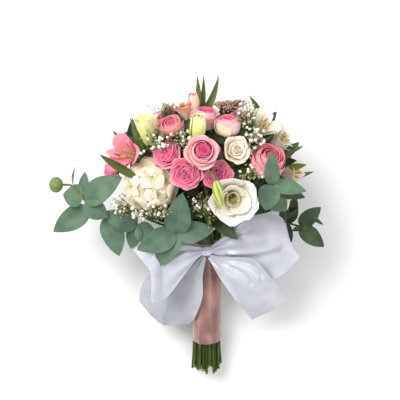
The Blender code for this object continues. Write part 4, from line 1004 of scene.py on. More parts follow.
def stem_finish(name, skin, dark, pale):
    """Fresh stem skin: smooth, dull and streaked along its length. Towards the handle's end it
    is darkened with painted shade, and it shows moist pale pith where it is cut."""
    made, tree, shader = finish_of(name, Roughness=0.55, Specular_IOR_Level=0.3)
    place = add(tree, "TexCoord", {}, output=3)
    drawn = add(tree, "Mapping", {"Vector": place, "Scale": (260.0, 18.0, 260.0)})
    streak = add(tree, "TexNoise", {"Vector": drawn, "Scale": 1.0, "Detail": 3.0})
    colour = add(tree, "ValToRGB", {"Fac": streak}, ((0.3, dark), (0.5, skin), (0.72, pale)))
    # The skin is darkened with painted shade from 40 mm below the middle of the bouquet on
    end_shade = add(tree, "SeparateXYZ", {"Vector": place}, output=1)
    end_shade = add(tree, "Math", {0: end_shade, 1: -5.0, 2: -0.2}, operation="MULTIPLY_ADD", use_clamp=True)
    colour = add(tree, "Mix", {0: end_shade, 6: colour, 7: dark}, **MIX)
    cut = add(tree, "Attribute", {}, output=2, attribute_name="cut")
    colour = add(tree, "Mix", {0: cut, 6: colour, 7: PITH}, **MIX)
    surfaced(tree, shader, colour, streak, 0.2, 0.3)
    return made


def bud_finish(name, face, dark, pale):
    """The furled petals of a green bud: darker where one edge laps over the next."""
    made, tree, shader = finish_of(name, Roughness=0.48, Subsurface_Weight=0.1)
    uv = add(tree, "UVMap", {}, uv_map="blade")
    around = add(tree, "SeparateXYZ", {"Vector": uv}, output=0)
    along = add(tree, "SeparateXYZ", {"Vector": uv}, output=1)
    spiral = add(tree, "Math", {0: along, 1: 0.22, 2: around}, operation="MULTIPLY_ADD")
    spiral = add(tree, "Math", {0: spiral, 1: 5.0}, operation="MULTIPLY")
    spiral = add(tree, "Math", {0: spiral}, operation="FRACT")
    fibre = streaks(tree, uv, 40.0, 2.0)
    colour = add(
        tree, "ValToRGB", {"Fac": spiral},
        ((0.0, dark), (0.16, face), (0.6, pale), (0.94, face), (1.0, dark)),
    )
    grain = add(tree, "ValToRGB", {"Fac": fibre}, ((0.3, "#D8DCC0"), (0.7, "#FFFFFF")))
    colour = add(tree, "Mix", {0: 0.7, 6: colour, 7: grain}, **MULTIPLY)
    surfaced(tree, shader, colour, fibre, 0.2, 0.3)
    return made


def satin_finish(name, face, shade, light, roughness, gloss=0.0):
    """Polyester satin ribbon: long floats of thread run along it, so it shines in a
    soft streak across the folds. The threads are drawn coarser than life, to show."""
    made, tree, shader = finish_of(
        name, Roughness=roughness, Anisotropic=0.5, Sheen_Weight=0.15, Sheen_Roughness=0.4,
        Specular_IOR_Level=0.55, Coat_Weight=gloss, Coat_Roughness=0.16,
    )
    uv = add(tree, "UVMap", {}, uv_map="blade")
    place = add(tree, "TexCoord", {}, output=3)
    floats = streaks(tree, uv, 100.0, 6.0)
    broad = add(tree, "TexNoise", {"Vector": place, "Scale": 30.0, "Detail": 2.0})
    colour = add(tree, "ValToRGB", {"Fac": broad}, ((0.3, shade), (0.5, face), (0.7, light)))
    grain = add(tree, "ValToRGB", {"Fac": floats}, ((0.3, "#EFEFEF"), (0.7, "#FFFFFF")))
    colour = add(tree, "Mix", {0: 0.6, 6: colour, 7: grain}, **MULTIPLY)
    surfaced(tree, shader, colour, floats, 0.12, 0.2)
    return made


def plain_finish(name, face, dark, grit, roughness=0.6, softness=0.0):
    """A small soft thing of one colour with a fine grain, such as an anther, a floret
    or a seed pod. grit is the grain's size in millimetres."""
    made, tree, shader = finish_of(
        name, Roughness=roughness, Subsurface_Weight=softness, Subsurface_Scale=0.001
    )
    place = add(tree, "TexCoord", {}, output=3)
    grain = add(tree, "TexNoise", {"Vector": place, "Scale": 1 / (grit * METRES), "Detail": 3.0})
    colour = add(tree, "ValToRGB", {"Fac": grain}, ((0.3, dark), (0.65, face)))
    surfaced(tree, shader, colour, grain, grit * 0.3, 0.4)
    return made


# Petals and blooms

# The colours of petals at their root, middle and rim, first in the flower's heart and
# then on its outermost whorl
BLOOM_LOOKS = {
    "blush": (("#D0004E", "#E40E5E", "#F24486"), ("#FDE4CE", "#FDD2CC", "#FDBCC8")),
    "coral": (("#CC0A50", "#DC2C68", "#F05C88"), ("#F8CCB2", "#F6AAAC", "#F69CAC")),
    "deep": (("#E40A5E", "#F22C7C", "#FF7CAC"), ("#FDA4BC", "#FE78A6", "#FFA2C2")),
    "white": (("#A9A650", "#EAE4C0", "#F9F5E4"), ("#DEDCA8", "#F6F2E4", "#FCFBF4")),
    "cream": (("#BCB884", "#EEE0C0", "#FAF0DC"), ("#DED4A8", "#F5E8D0", "#FDF1E0")),
    "ivory": (("#B9B884", "#EFDDC2", "#F8E8D6"), ("#CCCB9A", "#F4E0CA", "#FAE6D4")),
    "lime": (("#B2CE4C", "#D6E670", "#F4F4AE"), ("#B6D94A", "#E4F080", "#FAF5BE")),
    "alstroemeria_pink": (("#F0DC9C", "#F8BAB8", "#FA9CAE"), ("#EBA8A0", "#FA84A8", "#FD78A2")),
    "alstroemeria_white": (("#C9CE86", "#EBE2BE", "#F4EFDE"), ("#B9C67C", "#EFEAD8", "#EEECD4")),
}
# The streaks on the inner petals of an alstroemeria
STRIPES = {"alstroemeria_pink": "#7A2030", "alstroemeria_white": "#7C5A38"}

# The petals of an outermost whorl that have faded to greenish cream, and how far
FADED = {
    ("rose_upper_right", 0): 0.95, ("rose_front", 0): 0.45, ("rose_crown", 3): 0.35,
    ("alstroemeria_top", 0): 0.6, ("alstroemeria_top", 1): 0.6, ("alstroemeria_top", 2): 0.6,
}


# The roses that look coral, because they stand in the shade or are turned away
CORAL_ROSES = ("rose_right", "rose_upper_left", "rose_back_left", "rose_back_right")


def look_of(name):
    """Which petal colours a flower has, and its slot in the record."""
    flower = FLOWERS[name]
    if flower.form == "alstroemeria":
        kind = "alstroemeria_pink" if flower.colour == PINK else "alstroemeria_white"
        return kind, kind + "_petal"
    if flower.form == "spray":
        return "deep", "spray_rose_petal"
    if flower.form in ("rose", "rose_cup"):
        return ("coral" if name in CORAL_ROSES else "blush"), "rose_petal"
    return flower.colour, "green_petal" if flower.form == "half_open" else "lisianthus_petal"


def petal(bm, whorl, number, size, where, chance, pale=0.0):
    """One petal of a whorl, as in the solids but finer: its rim curls back and waves,
    and no two are quite alike."""
    half = math.radians(whorl.half) * chance.uniform(0.9, 1.08)
    turn = math.radians(whorl.turn + 360 * number / whorl.count + chance.uniform(-8, 8))
    taller = chance.uniform(-0.9, 0.9)
    wider = chance.uniform(-0.45, 0.45) * min(whorl.count - 1, 3) / 3
    curl = whorl.curl * chance.uniform(0.6, 1.3)
    waves = chance.uniform(1.4, 2.4)
    phase = chance.uniform(0, 2 * math.pi)

    def place(s, t):
        if t == 0:
            s = 0
        reach = t * (1 - whorl.rounding * s * s)
        radius, height = bezier(whorl.curve, reach)
        ahead_radius, ahead_height = bezier(whorl.curve, reach + 0.01)
        slope = Vector((ahead_radius - radius, ahead_height - height)).normalized()
        angle = turn + s * half * (0.55 + 0.45 * math.sin(math.pi * reach * 0.75))
        aside = whorl.overlap * s * min(size + 0.1, 1)
        rim = max(reach - 0.7, 0) / 0.3
        radius *= 1 + whorl.lobed * math.cos(5 * angle) * min(reach * 1.4, 1)
        radius = (radius + wider * reach + curl * rim * rim) * size + aside * slope.y
        height = (height - 0.5 * curl * rim**3 + taller * reach) * size - aside * slope.x
        wave = whorl.wave * reach**3 * size
        height += wave * math.sin(waves * math.pi * s + phase)
        radius -= wave * 0.7 * math.cos(waves * math.pi * s + phase)
        return where @ Vector((radius * math.cos(angle), radius * math.sin(angle), height))

    fine = 8 if whorl.half < 60 else 10
    inside = whorl.tone if whorl.tone == 1 else whorl.tone * DEEPER_INSIDE
    grid(bm, fine, 9, place, PETAL, inside, tone=whorl.tone, pale=pale)


def bloom(name, finishes):
    """A flower of separate petals."""
    flower = FLOWERS[name]
    form = FORMS[flower.form]
    base, outward = flower_base(name)
    where = placing(base, outward)
    chance = random.Random(name)
    bm = new_mesh("tone", "pale")
    furled = name == "lisianthus_cream"
    for whorl in ROSETTE if furled else form.rings:
        for number in range(whorl.count):
            faded = chance.uniform(0, 0.25) * whorl.tone
            if (name, number) in FADED and whorl is form.rings[-1]:
                faded = FADED[(name, number)]
            petal(bm, whorl, number, flower.size, where, chance, faded)
    kind, slot = look_of(name)
    finished(bm, name + "_petals", finishes[kind], slot, (name,))
    if flower.form == "lisianthus" and not furled:
        lisianthus_heart(name, where, flower.size, finishes, slot)
    if flower.form == "alstroemeria":
        stamens(name, where, flower.size, finishes, slot)


def lisianthus_heart(name, where, size, finishes, slot):
    """The pistil with its two broad lobes, and the stamens that stand round it."""
    bm = new_mesh()
    rods(bm, [rounded([where @ Vector((0, 0, z)) for z in (6, 12, 20)], [2.6, 1.9, 1.2])], 10)
    for side in (-1, 1):
        lobe = bmesh.ops.create_icosphere(bm, subdivisions=3, radius=1.0)["verts"]
        shape = Matrix.Diagonal((1.9, 2.8, 1.1, 1)) @ Matrix.Rotation(0.3 * side, 4, "Y")
        shape = where @ Matrix.Translation((1.5 * side, 0, 21)) @ shape
        bmesh.ops.transform(bm, matrix=shape, verts=lobe)
    finished(bm, name + "_pistil", finishes["pistil"], slot, (name,))
    bm = new_mesh()
    for number in range(5):
        angle = 2 * math.pi * number / 5 + 0.4
        way = Vector((math.cos(angle), math.sin(angle), 0))
        shape = ((2, 5), (4.4, 13), (5.4, 19))
        points = [where @ (way * reach + Vector((0, 0, z))) for reach, z in shape]
        rods(bm, [rounded(points, [0.4, 0.35, 0.3])], 6)
        anther(bm, points[-1], (points[-1] - points[-2]).normalized(), 1.5 * size)
    finished(bm, name + "_stamens", finishes["anther"], slot, (name,))


def stamens(name, where, size, finishes, slot):
    """Six bowed stamens with their anthers, bunched to one side of the throat."""
    chance = random.Random(name)
    large = 1.7 if name == "alstroemeria_top" else 1.15
    threads, tips = new_mesh(), new_mesh()
    for number in range(6):
        angle = 0.9 * number - 1.2 + chance.uniform(-0.2, 0.2)
        way = Vector((math.cos(angle), math.sin(angle), 0))
        high = chance.uniform(27, 33)
        shape = ((1.2, 4), (2.0, high * 0.5), (3.2, high * 0.85), (5.4, high))
        points = [where @ ((way * reach + Vector((0, 0, z))) * size) for reach, z in shape]
        rods(threads, [rounded(points, [0.45, 0.4, 0.35, 0.3])], 6)
        anther(tips, points[-1], (points[-1] - points[-2]).normalized(), 1.6 * large)
    finished(threads, name + "_filaments", finishes["alstroemeria_pink"], slot, (name,))
    finished(tips, name + "_anthers", finishes["anther"], slot, (name,))


def anther(bm, centre, ahead, reach):
    """A grain-shaped anther with its length along ahead."""
    made = bmesh.ops.create_icosphere(bm, subdivisions=2, radius=1.0)["verts"]
    shape = placing(centre, ahead) @ Matrix.Diagonal((reach * 0.55, reach * 0.55, reach, 1))
    bmesh.ops.transform(bm, matrix=shape, verts=made)


def hydrangea(name, finishes):
    """A dome of florets of four broad round petals over a small core of stalks."""
    ball = BALLS[name]
    chance = random.Random(name)
    bm = new_mesh("tone", "pale")
    beads = new_mesh()
    made = bmesh.ops.create_icosphere(bm, subdivisions=3, radius=ball.core - 3)
    bmesh.ops.translate(bm, vec=ball.centre, verts=made["verts"])
    for number, way in enumerate(sphere_points(BALL_FLORETS, ball.facing, BALL_SPREAD)):
        lift = ball.core - 1.0 + 1.6 * (number % 3)
        where = placing(Vector(ball.centre) + way * lift, way, chance.uniform(0, 2 * math.pi))
        reach = ball.reach * chance.uniform(0.98, 1.12)
        tone = chance.uniform(0.3, 1.0)
        for quarter in range(4):
            floret_petal(bm, where, quarter, reach, tone, chance)
        eye = bmesh.ops.create_icosphere(beads, subdivisions=2, radius=1.3)["verts"]
        raised = where @ Matrix.Translation((0, 0, 1.0))
        bmesh.ops.transform(beads, matrix=raised, verts=eye)
    finished(bm, name + "_florets", finishes["ivory"], "hydrangea_petal", (name,))
    finished(beads, name + "_beads", finishes["bead"], "hydrangea_petal", (name,))


def floret_petal(bm, where, quarter, reach, tone, chance):
    """One broad petal of a hydrangea floret. It is cupped, laps over the next one,
    and bends down over the ball."""
    turn = math.pi / 2 * quarter + chance.uniform(-0.08, 0.08)
    lift = chance.uniform(2.2, 3.6)
    ripple = chance.uniform(0.3, 0.9)
    phase = chance.uniform(0, 6)

    def place(s, t):
        across = reach * 0.60 * s * math.sin(math.pi * min(0.06 + t * 0.80, 1)) ** 0.6
        out = reach * t * (1 - 0.16 * s * s)
        up = lift * math.sin(math.pi * t * 0.7) - 4.6 * t * t + 1.4 * s * t
        up += ripple * t * math.sin(4 * s + phase)
        return where @ (Matrix.Rotation(turn, 3, "Z") @ Vector((out, across, up)))

    grid(bm, 6, 6, place, PETAL, tone=tone)


# Stems, sepals and leaves

# How many sides the thick and the thin stems have, and how deep their cut end goes
STEM_SIDES = 12
THIN_SIDES = 8
CUT_DEPTH = 0.3

# How far the solids' leaves fold along their midrib, and how much wider than theirs
# the narrow leaves are drawn
SOLID_FOLD = 0.16
WIDER_STRAP = 1.25

# The steps of a spray's leaf, across and along
LEAF_STEPS = (8, 16)


def stem_of(node, runs, finish, slot, sides):
    """The rods of one node, with their cut ends marked for the material."""
    bm = new_mesh("cut")
    courses = [rounded(run.points, run.radii) for run in runs]
    verts = rods(bm, courses, sides)
    mark = bm.verts.layers.float["cut"]
    cut = courses[0][0][0]
    for vert in verts:
        vert[mark] = 1.0 if (vert.co - cut).dot(AXIS) < CUT_DEPTH else 0.0
    for carried in THICK_STEMS.get(node, ()):
        if has_sepals(carried):
            sepals(bm, carried)
    finished(bm, node + "_rods", finish, slot, (node,))


def sepals(bm, name):
    """The five narrow sepals that spread under a bloom."""
    top, facing = stem_end(name)
    size = FLOWERS[name].size
    reach = FORMS[FLOWERS[name].form].sepals * size
    where = placing(top, facing, 0.3)
    for number in range(5):
        turn = Matrix.Rotation(2 * math.pi * number / 5, 3, "Z")

        def place(s, t, turn=turn):
            half = 2.6 * size * (1 - t) ** 0.7 + 0.15
            out = Vector((1.5 + reach * t, half * s, -3.2 * size * t * t - 0.6 * abs(s)))
            return where @ (turn @ out)

        grid(bm, 4, 6, place, LEAF_THICKNESS)


def outline(t):
    """A leaf's half width at t of its length: widest a little below its middle."""
    return 2.68 * max(t, 0) ** 0.55 * max(1 - t, 0) ** 0.95


def coarse_blade(leaf):
    """The solids' form of a leaf, which shows how far the leaf had to be turned."""
    bm = bmesh.new()
    bmesh.ops.create_grid(bm, x_segments=2, y_segments=3, size=1.0)
    place = leaf_surface(leaf, SOLID_FOLD, solid_outline)
    for vert in bm.verts:
        vert.co = place(vert.co.x, (vert.co.y + 1) / 2)
    bmesh.ops.remove_doubles(bm, verts=bm.verts[:], dist=0.05)
    bmesh.ops.triangulate(bm, faces=bm.faces[:])
    bmesh.ops.solidify(bm, geom=bm.faces[:], thickness=BLADE)
    root = place(0, 0)
    ends = [vert for vert in bm.verts if (vert.co - root).length < 1.5 * BLADE]
    bmesh.ops.pointmerge(bm, verts=ends, merge_co=root)
    bmesh.ops.recalc_face_normals(bm, faces=bm.faces[:])
    return bm


def solid_outline(t):
    """The half width of a leaf of the solids at t of its length."""
    return max(4 * t * (1 - t), 0) ** 0.6 * (1.12 - 0.24 * t)


def leaf_surface(leaf, fold, half_width, wave=0.0, phase=0.0):
    """The surface of a leaf as a function of (s, t), folded along its midrib."""
    root, bend, tip = Vector(leaf.root), Vector(leaf.bend), Vector(leaf.tip)
    face = Vector(leaf.facing).normalized()

    def place(s, t):
        middle = root * (1 - t) ** 2 + bend * 2 * t * (1 - t) + tip * t * t
        ahead = ((bend - root) * (1 - t) + (tip - bend) * t).normalized()
        across = ahead.cross(face).normalized()
        up = across.cross(ahead)
        half = leaf.width / 2 * half_width(t)
        ripple = wave * math.sin(9 * t + phase + 1.6 * s) * s * s * min(half / 6, 1)
        return middle + across * s * half + up * (abs(s) ** 1.3 * half * fold + ripple)

    return place


def settled(node, leaf):
    """The leaf, turned as little as it takes to keep clear of the other nodes."""
    turns = [(a, b) for a in range(-40, 41, 8) for b in range(-32, 33, 8)]
    for lift, swing in sorted(turns, key=lambda pair: (abs(pair[0]) + abs(pair[1]), pair)):
        turned = tilted(leaf, lift, swing)
        bm = coarse_blade(turned)
        found = is_clear(node, bm)
        bm.free()
        if found:
            return turned
    return None


def resting_surface(root, tip, width):
    """A leaf that comes down from its twig and then lies flat on the surface."""
    root, tip = Vector(root), Vector(tip)
    across = (tip - root).cross(Vector((0, 0, 1))).normalized()

    def place(s, t):
        middle = root.lerp(tip, t)
        middle.z = root.z * max(1 - 3 * t, 0) ** 1.2
        return middle + across * s * width / 2 * outline(t)

    return place


def leaves_of(node, runs, finish, slot):
    """A spray's leaves, where the solids have them."""
    chance = random.Random(node)
    bm = new_mesh("tone")
    strap = node.startswith("alstroemeria")
    for leaf in LEAVES[node]:
        turned = settled(node, rooted(leaf, runs))
        if turned:
            if strap:
                turned = turned._replace(width=turned.width * WIDER_STRAP)
            wave = 0.5 if strap else chance.uniform(0.3, 0.9)
            surface = leaf_surface(turned, 0.22, outline, wave, chance.uniform(0, 6))
            grid(bm, *LEAF_STEPS, surface, LEAF_THICKNESS, tone=chance.random())
    if node in RESTING:
        surface = resting_surface(*RESTING[node])
        grid(bm, *LEAF_STEPS, surface, -LEAF_THICKNESS, tone=0.5)
    finished(bm, node + "_leaves", finish, slot, (node,))


# How high, and how far to the left, the dark leaves between the blooms reach, how
# many ways each is tried, and the steps of a dark leaf between the blooms and of one
# that shows at the edge
FOLIAGE_TOP = 122
FOLIAGE_LEFT = -84
LEAF_TRIES = 16
HIDDEN_LEAF_STEPS = (6, 10)
EDGE_LEAF_STEPS = (6, 12)

# The dark leaves at the right edge: root, tip, width and the way that each faces
DARK_LEAVES = (
    ((84, 12, 138), (119, 3, 127), 15, (0.1, 0.1, 1)),
    ((100, -26, 70), (97, -2, 96), 13, (-0.1, -0.3, 1)),
    ((101, -26, 70), (114, -10, 86), 12, (0.2, -0.2, 1)),
    ((117, -31, 85), (127, -34, 88), 6, (0, 0, 1)),
    ((128, -19, 89), (143, -29, 88), 5, (0, 0.2, 1)),
    ((117, -31, 85), (107, -36, 84), 6, (0, 0, 1)),
    ((96, 50, 112), (113, 66, 112), 10, (0.2, 0.1, 1)),
    ((18, 82, 112), (29, 106, 112), 14, (0, -0.1, 1)),
    ((-20, 84, 112), (-27, 104, 108), 13, (0, -0.1, 1)),
    ((2, -30, 102), (10, -51, 103), 13, (0, -0.2, 1)),
    ((0, -30, 100), (-9, -50, 101), 13, (0, -0.2, 1)),
)

# The narrow leaves that cross in front of the alstroemerias
STRAP_LEAVES = (
    ((-71, 25, 144), (-111.6, 50.4, 154), 10, (-0.1, -0.2, 1)),
    ((100, 37, 122), (121, 40, 120), 7, (0, -0.2, 1)),
)


def foliage(runs, finishes):
    """Small dark leaves along the stems, which fill the head between the blooms. Each
    stands in the first way drawn that is clear of the flowers and the other leaves."""
    chance = random.Random("foliage")
    bm = new_mesh("tone")
    for run in runs:
        if run.node not in THICK_STEMS:
            continue
        start = 3 if len(run.points) > 6 else 0
        for a, b in zip(run.points[start:-1], run.points[start + 1 :]):
            for share in (0.2, 0.6):
                root = a.lerp(b, share)
                leaf = filler_leaf(run.node, root, (b - a).normalized(), chance)
                if leaf:
                    fold = chance.uniform(0.2, 0.4)
                    surface = leaf_surface(leaf, fold, outline, 0.5, chance.uniform(0, 6))
                    grid(bm, *HIDDEN_LEAF_STEPS, surface, LEAF_THICKNESS, tone=chance.random())
    for leaf in DARK_LEAVES:
        surface = leaf_surface(straight(*leaf), 0.3, outline, 0.5, chance.uniform(0, 6))
        grid(bm, *EDGE_LEAF_STEPS, surface, LEAF_THICKNESS, tone=chance.uniform(0, 0.6))
    finished(bm, "filler_foliage", finishes["dark_leaf"], "green_stem")
    bm = new_mesh("tone")
    for leaf in STRAP_LEAVES:
        surface = leaf_surface(straight(*leaf), 0.25, outline, 0.5, chance.uniform(0, 6))
        grid(bm, *EDGE_LEAF_STEPS, surface, LEAF_THICKNESS, tone=chance.random())
    finished(bm, "strap_leaves", finishes["strap"], "green_stem")


def filler_leaf(node, root, ahead, chance):
    """A leaf that grows from root, or None where there is no room for one."""
    for _ in range(LEAF_TRIES):
        aside = Vector([chance.uniform(-1, 1) for _ in range(3)])
        aside = (aside - ahead * aside.dot(ahead)).normalized()
        way = (ahead * chance.uniform(0.2, 0.9) + aside).normalized()
        length = chance.uniform(26, 46)
        face = (Vector((0, 0, 1)) - way * way.z).normalized()
        tip = root + way * length
        leaf = Leaf(root, (root + tip) / 2 + face * 3, tip, length * 0.42, face)
        bm = coarse_blade(leaf)
        if tip.z < FOLIAGE_TOP and tip.x > FOLIAGE_LEFT and is_clear(node, bm):
            TREES[f"filler_{len(TREES)}"] = BVHTree.FromBMesh(bm)
            bm.free()
            return leaf
        bm.free()
    return None


# Buds and small flowers


def lathe(bm, around, along, place):
    """A closed form whose points (angle, t) are moved to place(angle, t)."""
    grid(bm, around, along, lambda s, t: place(math.pi * s, t), 0)


def swelling(bm, start, end, radius, lobes, twist, profile):
    """A bud between two points: a lobed form with this profile of (t, radius)."""
    start, end = Vector(start), Vector(end)
    spin = (end - start).to_track_quat("Z", "Y").to_matrix()
    stations, widths = zip(*profile)

    def place(angle, t):
        wide = radius * float(np.interp(t, stations, widths))
        wide *= 1 + 0.09 * math.cos(lobes * (angle + twist * t)) * math.sin(math.pi * t)
        point = Vector((wide * math.cos(angle), wide * math.sin(angle), 0))
        return start.lerp(end, t) + spin @ point

    lathe(bm, 30, 22, place)


# A bud's and the pod's radius, as a share of its greatest, at shares of its length
BUD_PROFILE = (
    (0, 0), (0.04, 0.45), (0.14, 0.8), (0.35, 1.0), (0.6, 0.92), (0.82, 0.55), (0.95, 0.2),
    (1, 0),
)
POD_PROFILE = (
    (0, 0), (0.03, 0.35), (0.15, 0.75), (0.35, 0.98), (0.55, 1.0), (0.75, 0.86), (0.88, 0.58),
    (0.9, 0.42), (0.93, 0.4), (0.94, 0.1), (1, 0),
)

# How high the whorls of a furled bud stand, and the radius of the nodding bud
FURLED_HEIGHT = 37.5
NODDING_RADIUS = 5.6

# The small buds: root, tip, how pale, and the points of the stalk, with its radius
STALK_RADIUS = 1.1
SMALL_BUDS = {
    "cream_bud": ((-7, 97, 108), (-8, 121, 121), 0.4, ((-2, 70, 98), (-6, 86, 103))),
    "white_bud": ((96, -13, 124), (97.5, 3, 130), 1.0, ((98, -28, 66), (99, -25, 104))),
}


def furled_bud(name, root, tip, pale, chance, finish, slot, nodes=()):
    """A bud of furled petals between two points."""
    bm = new_mesh("tone", "pale")
    root, tip = Vector(root), Vector(tip)
    size = (tip - root).length / FURLED_HEIGHT
    for whorl in FURLED_BUD:
        for number in range(whorl.count):
            petal(bm, whorl, number, size, placing(root, tip - root), chance, pale)
    finished(bm, name, finish, slot, nodes)


def buds(finishes):
    """The nodding bud in front, the green bud behind it, two small buds and the pod."""
    bm = new_mesh()
    swelling(bm, NODDING_BUD[-1], NODDING_BUD_TIP, NODDING_RADIUS, 5, 1.4, BUD_PROFILE)
    finished(bm, "nodding_bud", finishes["bud"], "green_petal", ("lisianthus_front_stem",))
    chance = random.Random("green_bud")
    root = THIN_STEMS["green_bud"][-1]
    furled_bud(
        "upright_bud", root, GREEN_BUD_TIP, 0.0, chance, finishes["lime"], "green_petal",
        ("green_bud",),
    )
    for name, (root, tip, pale, stalk) in SMALL_BUDS.items():
        finish = finishes["white" if name == "white_bud" else "blush"]
        furled_bud(name, root, tip, pale, chance, finish, "rose_petal")
        bm = new_mesh()
        points = [Vector(point) for point in (*stalk, root)]
        rods(bm, [rounded(points, [STALK_RADIUS] * len(points))], THIN_SIDES)
        finished(bm, name + "_stalk", finishes["stem"], "green_stem")
    bm = new_mesh()
    ahead = (Vector(POD) - Vector(THIN_STEMS["eucalyptus_left"][-2])).normalized()
    ends = Vector(POD) - ahead * POD_RADIUS, Vector(POD) + ahead * POD_RADIUS * 1.05
    swelling(bm, *ends, POD_RADIUS, 4, 0.0, POD_PROFILE)
    finished(bm, "seed_pod", finishes["pod"], "eucalyptus_leaf", ("eucalyptus_left",))


# Where more tiny florets show than the solids have: node, and its further clusters
MORE_CLUSTERS = {
    "gypsophila_left": (
        ((-20, 68, 150), (10, 14, 8), 5), ((-46, 62, 150), (10, 6, 5), 2),
        ((-34, 106, 118), (13, 4, 8), 3),
    ),
    "gypsophila_low": (
        ((-92, -8, 122), (10, 8, 6), 2), ((-44, -12, 144), (12, 8, 5), 3),
        ((-64, -16, 136), (12, 6, 6), 2),
    ),
    "gypsophila_middle": (((6, -10, 130), (7, 9, 10), 3), ((12, -24, 120), (5, 7, 10), 1)),
    "gypsophila_right": (
        ((54, 90, 144), (9, 10, 8), 6), ((62, 32, 158), (8, 8, 6), 3),
        ((66, 74, 146), (6, 7, 6), 3), ((50, 22, 150), (8, 8, 6), 2),
        ((57, 68, 160), (4, 9, 5), 2),
    ),
    "limonium": (((25, 108, 126), (7, 4, 6), 4), ((32, 104, 134), (8, 4, 5), 3)),
}

# How many tiny florets a cluster has for each of its count, how many share a fork,
# how many places are tried for them, the share that is fully open, and the room that
# an open one, a closed one and a branch need
PER_COUNT = 16
PER_FORK = 8
MOST_DRAWS = 400
OPEN_SHARE = 0.16
OPEN_ROOM = 2.6
CLOSED_ROOM = 1.4
BRANCH_ROOM = 0.5

# A branch's radius from the stem's tip to its floret, and the radii of open and
# closed florets, of which those over the last value are ruffled
BRANCH_RADII = (0.5, 0.36, 0.26, 0.22)
OPEN_RADII = (1.7, 2.4)
CLOSED_RADII = (0.8, 1.35)
RUFFLED_OVER = 1.5

# How far up the limonium reaches, and the blooms that no floret stands in front of,
# as a point and a radius round it
LIMONIUM_TOP = 113
CLEAR_FACES = (((-34, 48, 0), 12), ((-36, 90, 0), 9), ((80, 56, 0), 12))


def sprigs(node, clusters, tip, chance):
    """Where a spray's tiny florets stand, clear of the other nodes: for each, the
    points of its branch and whether it is fully open."""
    hubs = {}
    for centre, spread, count in clusters:
        wanted = count * PER_COUNT
        for _ in range(MOST_DRAWS):
            if wanted == 0:
                break
            end = Vector(centre) + Vector([chance.gauss(0, 0.5) * reach for reach in spread])
            opened = chance.random() < OPEN_SHARE and node != "limonium"
            if node == "limonium" and end.y > LIMONIUM_TOP:
                continue
            if any((end - Vector(face)).xy.length < reach for face, reach in CLEAR_FACES):
                continue
            if room_at(end, node) < (OPEN_ROOM if opened else CLOSED_ROOM):
                continue
            fork = tip.lerp(Vector(centre), 0.3 + 0.25 * chance.random())
            hub = hubs.setdefault((centre, wanted // PER_FORK), fork)
            side = hub.lerp(end, 0.6) + Vector([chance.uniform(-2, 2) for _ in range(3)])
            if room_at(side, node) > BRANCH_ROOM:
                wanted -= 1
                yield (tip, hub, side, end), opened


def spray_of_florets(node, clusters, tip, finishes):
    """Open florets and tiny calyxes on branches as fine as thread."""
    chance = random.Random(node)
    puffs, calyxes, branches = new_mesh(), new_mesh(), new_mesh()
    threads = []
    for points, opened in sprigs(node, clusters + MORE_CLUSTERS[node], tip, chance):
        threads.append(rounded(points, BRANCH_RADII, 1))
        facing = (points[-1] - points[-2]).normalized()
        if opened:
            floret(puffs, points[-1], facing, chance.uniform(*OPEN_RADII), chance)
        else:
            floret(calyxes, points[-1], facing, chance.uniform(*CLOSED_RADII), chance)
    kind = node_kind(node)
    rods(branches, threads, 4)
    finished(branches, node + "_branches", finishes["twig"], kind, (node,))
    small = finishes["limonium" if kind == "limonium" else "calyx"]
    finished(calyxes, node + "_calyxes", small, kind, (node,))
    if puffs.verts:
        finished(puffs, node + "_florets", finishes[kind], kind, (node,))


def node_kind(node):
    """Which flower a thin spray is of, which is its slot in the record too."""
    return "gypsophila" if node.startswith("gypsophila") else "limonium"


def floret(bm, centre, facing, radius, chance):
    """A tiny flower: a ruffled ball, or a smooth calyx where it is small."""
    rounds = 2 if radius > RUFFLED_OVER else 1
    made = bmesh.ops.create_icosphere(bm, subdivisions=rounds, radius=radius)["verts"]
    for vert in made:
        vert.co *= chance.uniform(0.72, 1.12)
        vert.co.z *= 0.8 if rounds == 2 else 1.2
    bmesh.ops.transform(bm, matrix=placing(centre, facing), verts=made)


# Ribbons

# Folds that cross or follow a ribbon: where their crest starts and ends, as (s, t),
# half their width and how high they stand, both in millimetres.
FOLDS = {
    "left_loop": (
        ((-1, 0.33), (1, 0.49), 6.0, 8.0), ((-1, 0.27), (1, 0.40), 4.0, -2.4),
        ((-1, 0.43), (0.4, 0.54), 5.0, -3.0), ((-0.35, 0.06), (-0.1, 0.26), 3.0, 1.4),
    ),
    "right_loop": (
        ((0.5, 0.14), (0.14, 0.40), 2.6, 3.0), ((0.62, 0.14), (0.34, 0.40), 4.0, -3.0),
        ((-0.4, 0.05), (-0.3, 0.24), 3.5, 1.6),
    ),
    "left_tail": (
        ((0.05, 0.5), (0.17, 1.0), 2.6, 3.4), ((-0.4, 0.5), (-0.2, 1.0), 6.0, -2.0),
        ((0.5, 0.2), (0.45, 0.9), 6.0, -1.8),
    ),
    "right_tail": (
        ((-0.74, 0.36), (-0.74, 0.64), 3.0, -3.4), ((-0.3, 0.3), (-0.06, 0.56), 3.2, -3.4),
        ((-0.52, 0.26), (-0.45, 0.62), 3.2, 2.2), ((-0.95, 0.66), (-0.35, 0.98), 3.0, 2.2),
        ((0.2, 0.2), (0.3, 0.6), 5.0, 1.6), ((-1, 0.2), (-1, 0.6), 5.0, 4.5),
    ),
}


# The steps across each ribbon and along a loop and a tail, and how many pleats it has
# at the knot and how deep they are, for loops and for tails
RIBBON_ACROSS = 36
LOOP_ALONG, TAIL_ALONG = 88, 56
PLEATS = 3.0
LOOP_PLEAT, TAIL_PLEAT = 2.2, 1.6


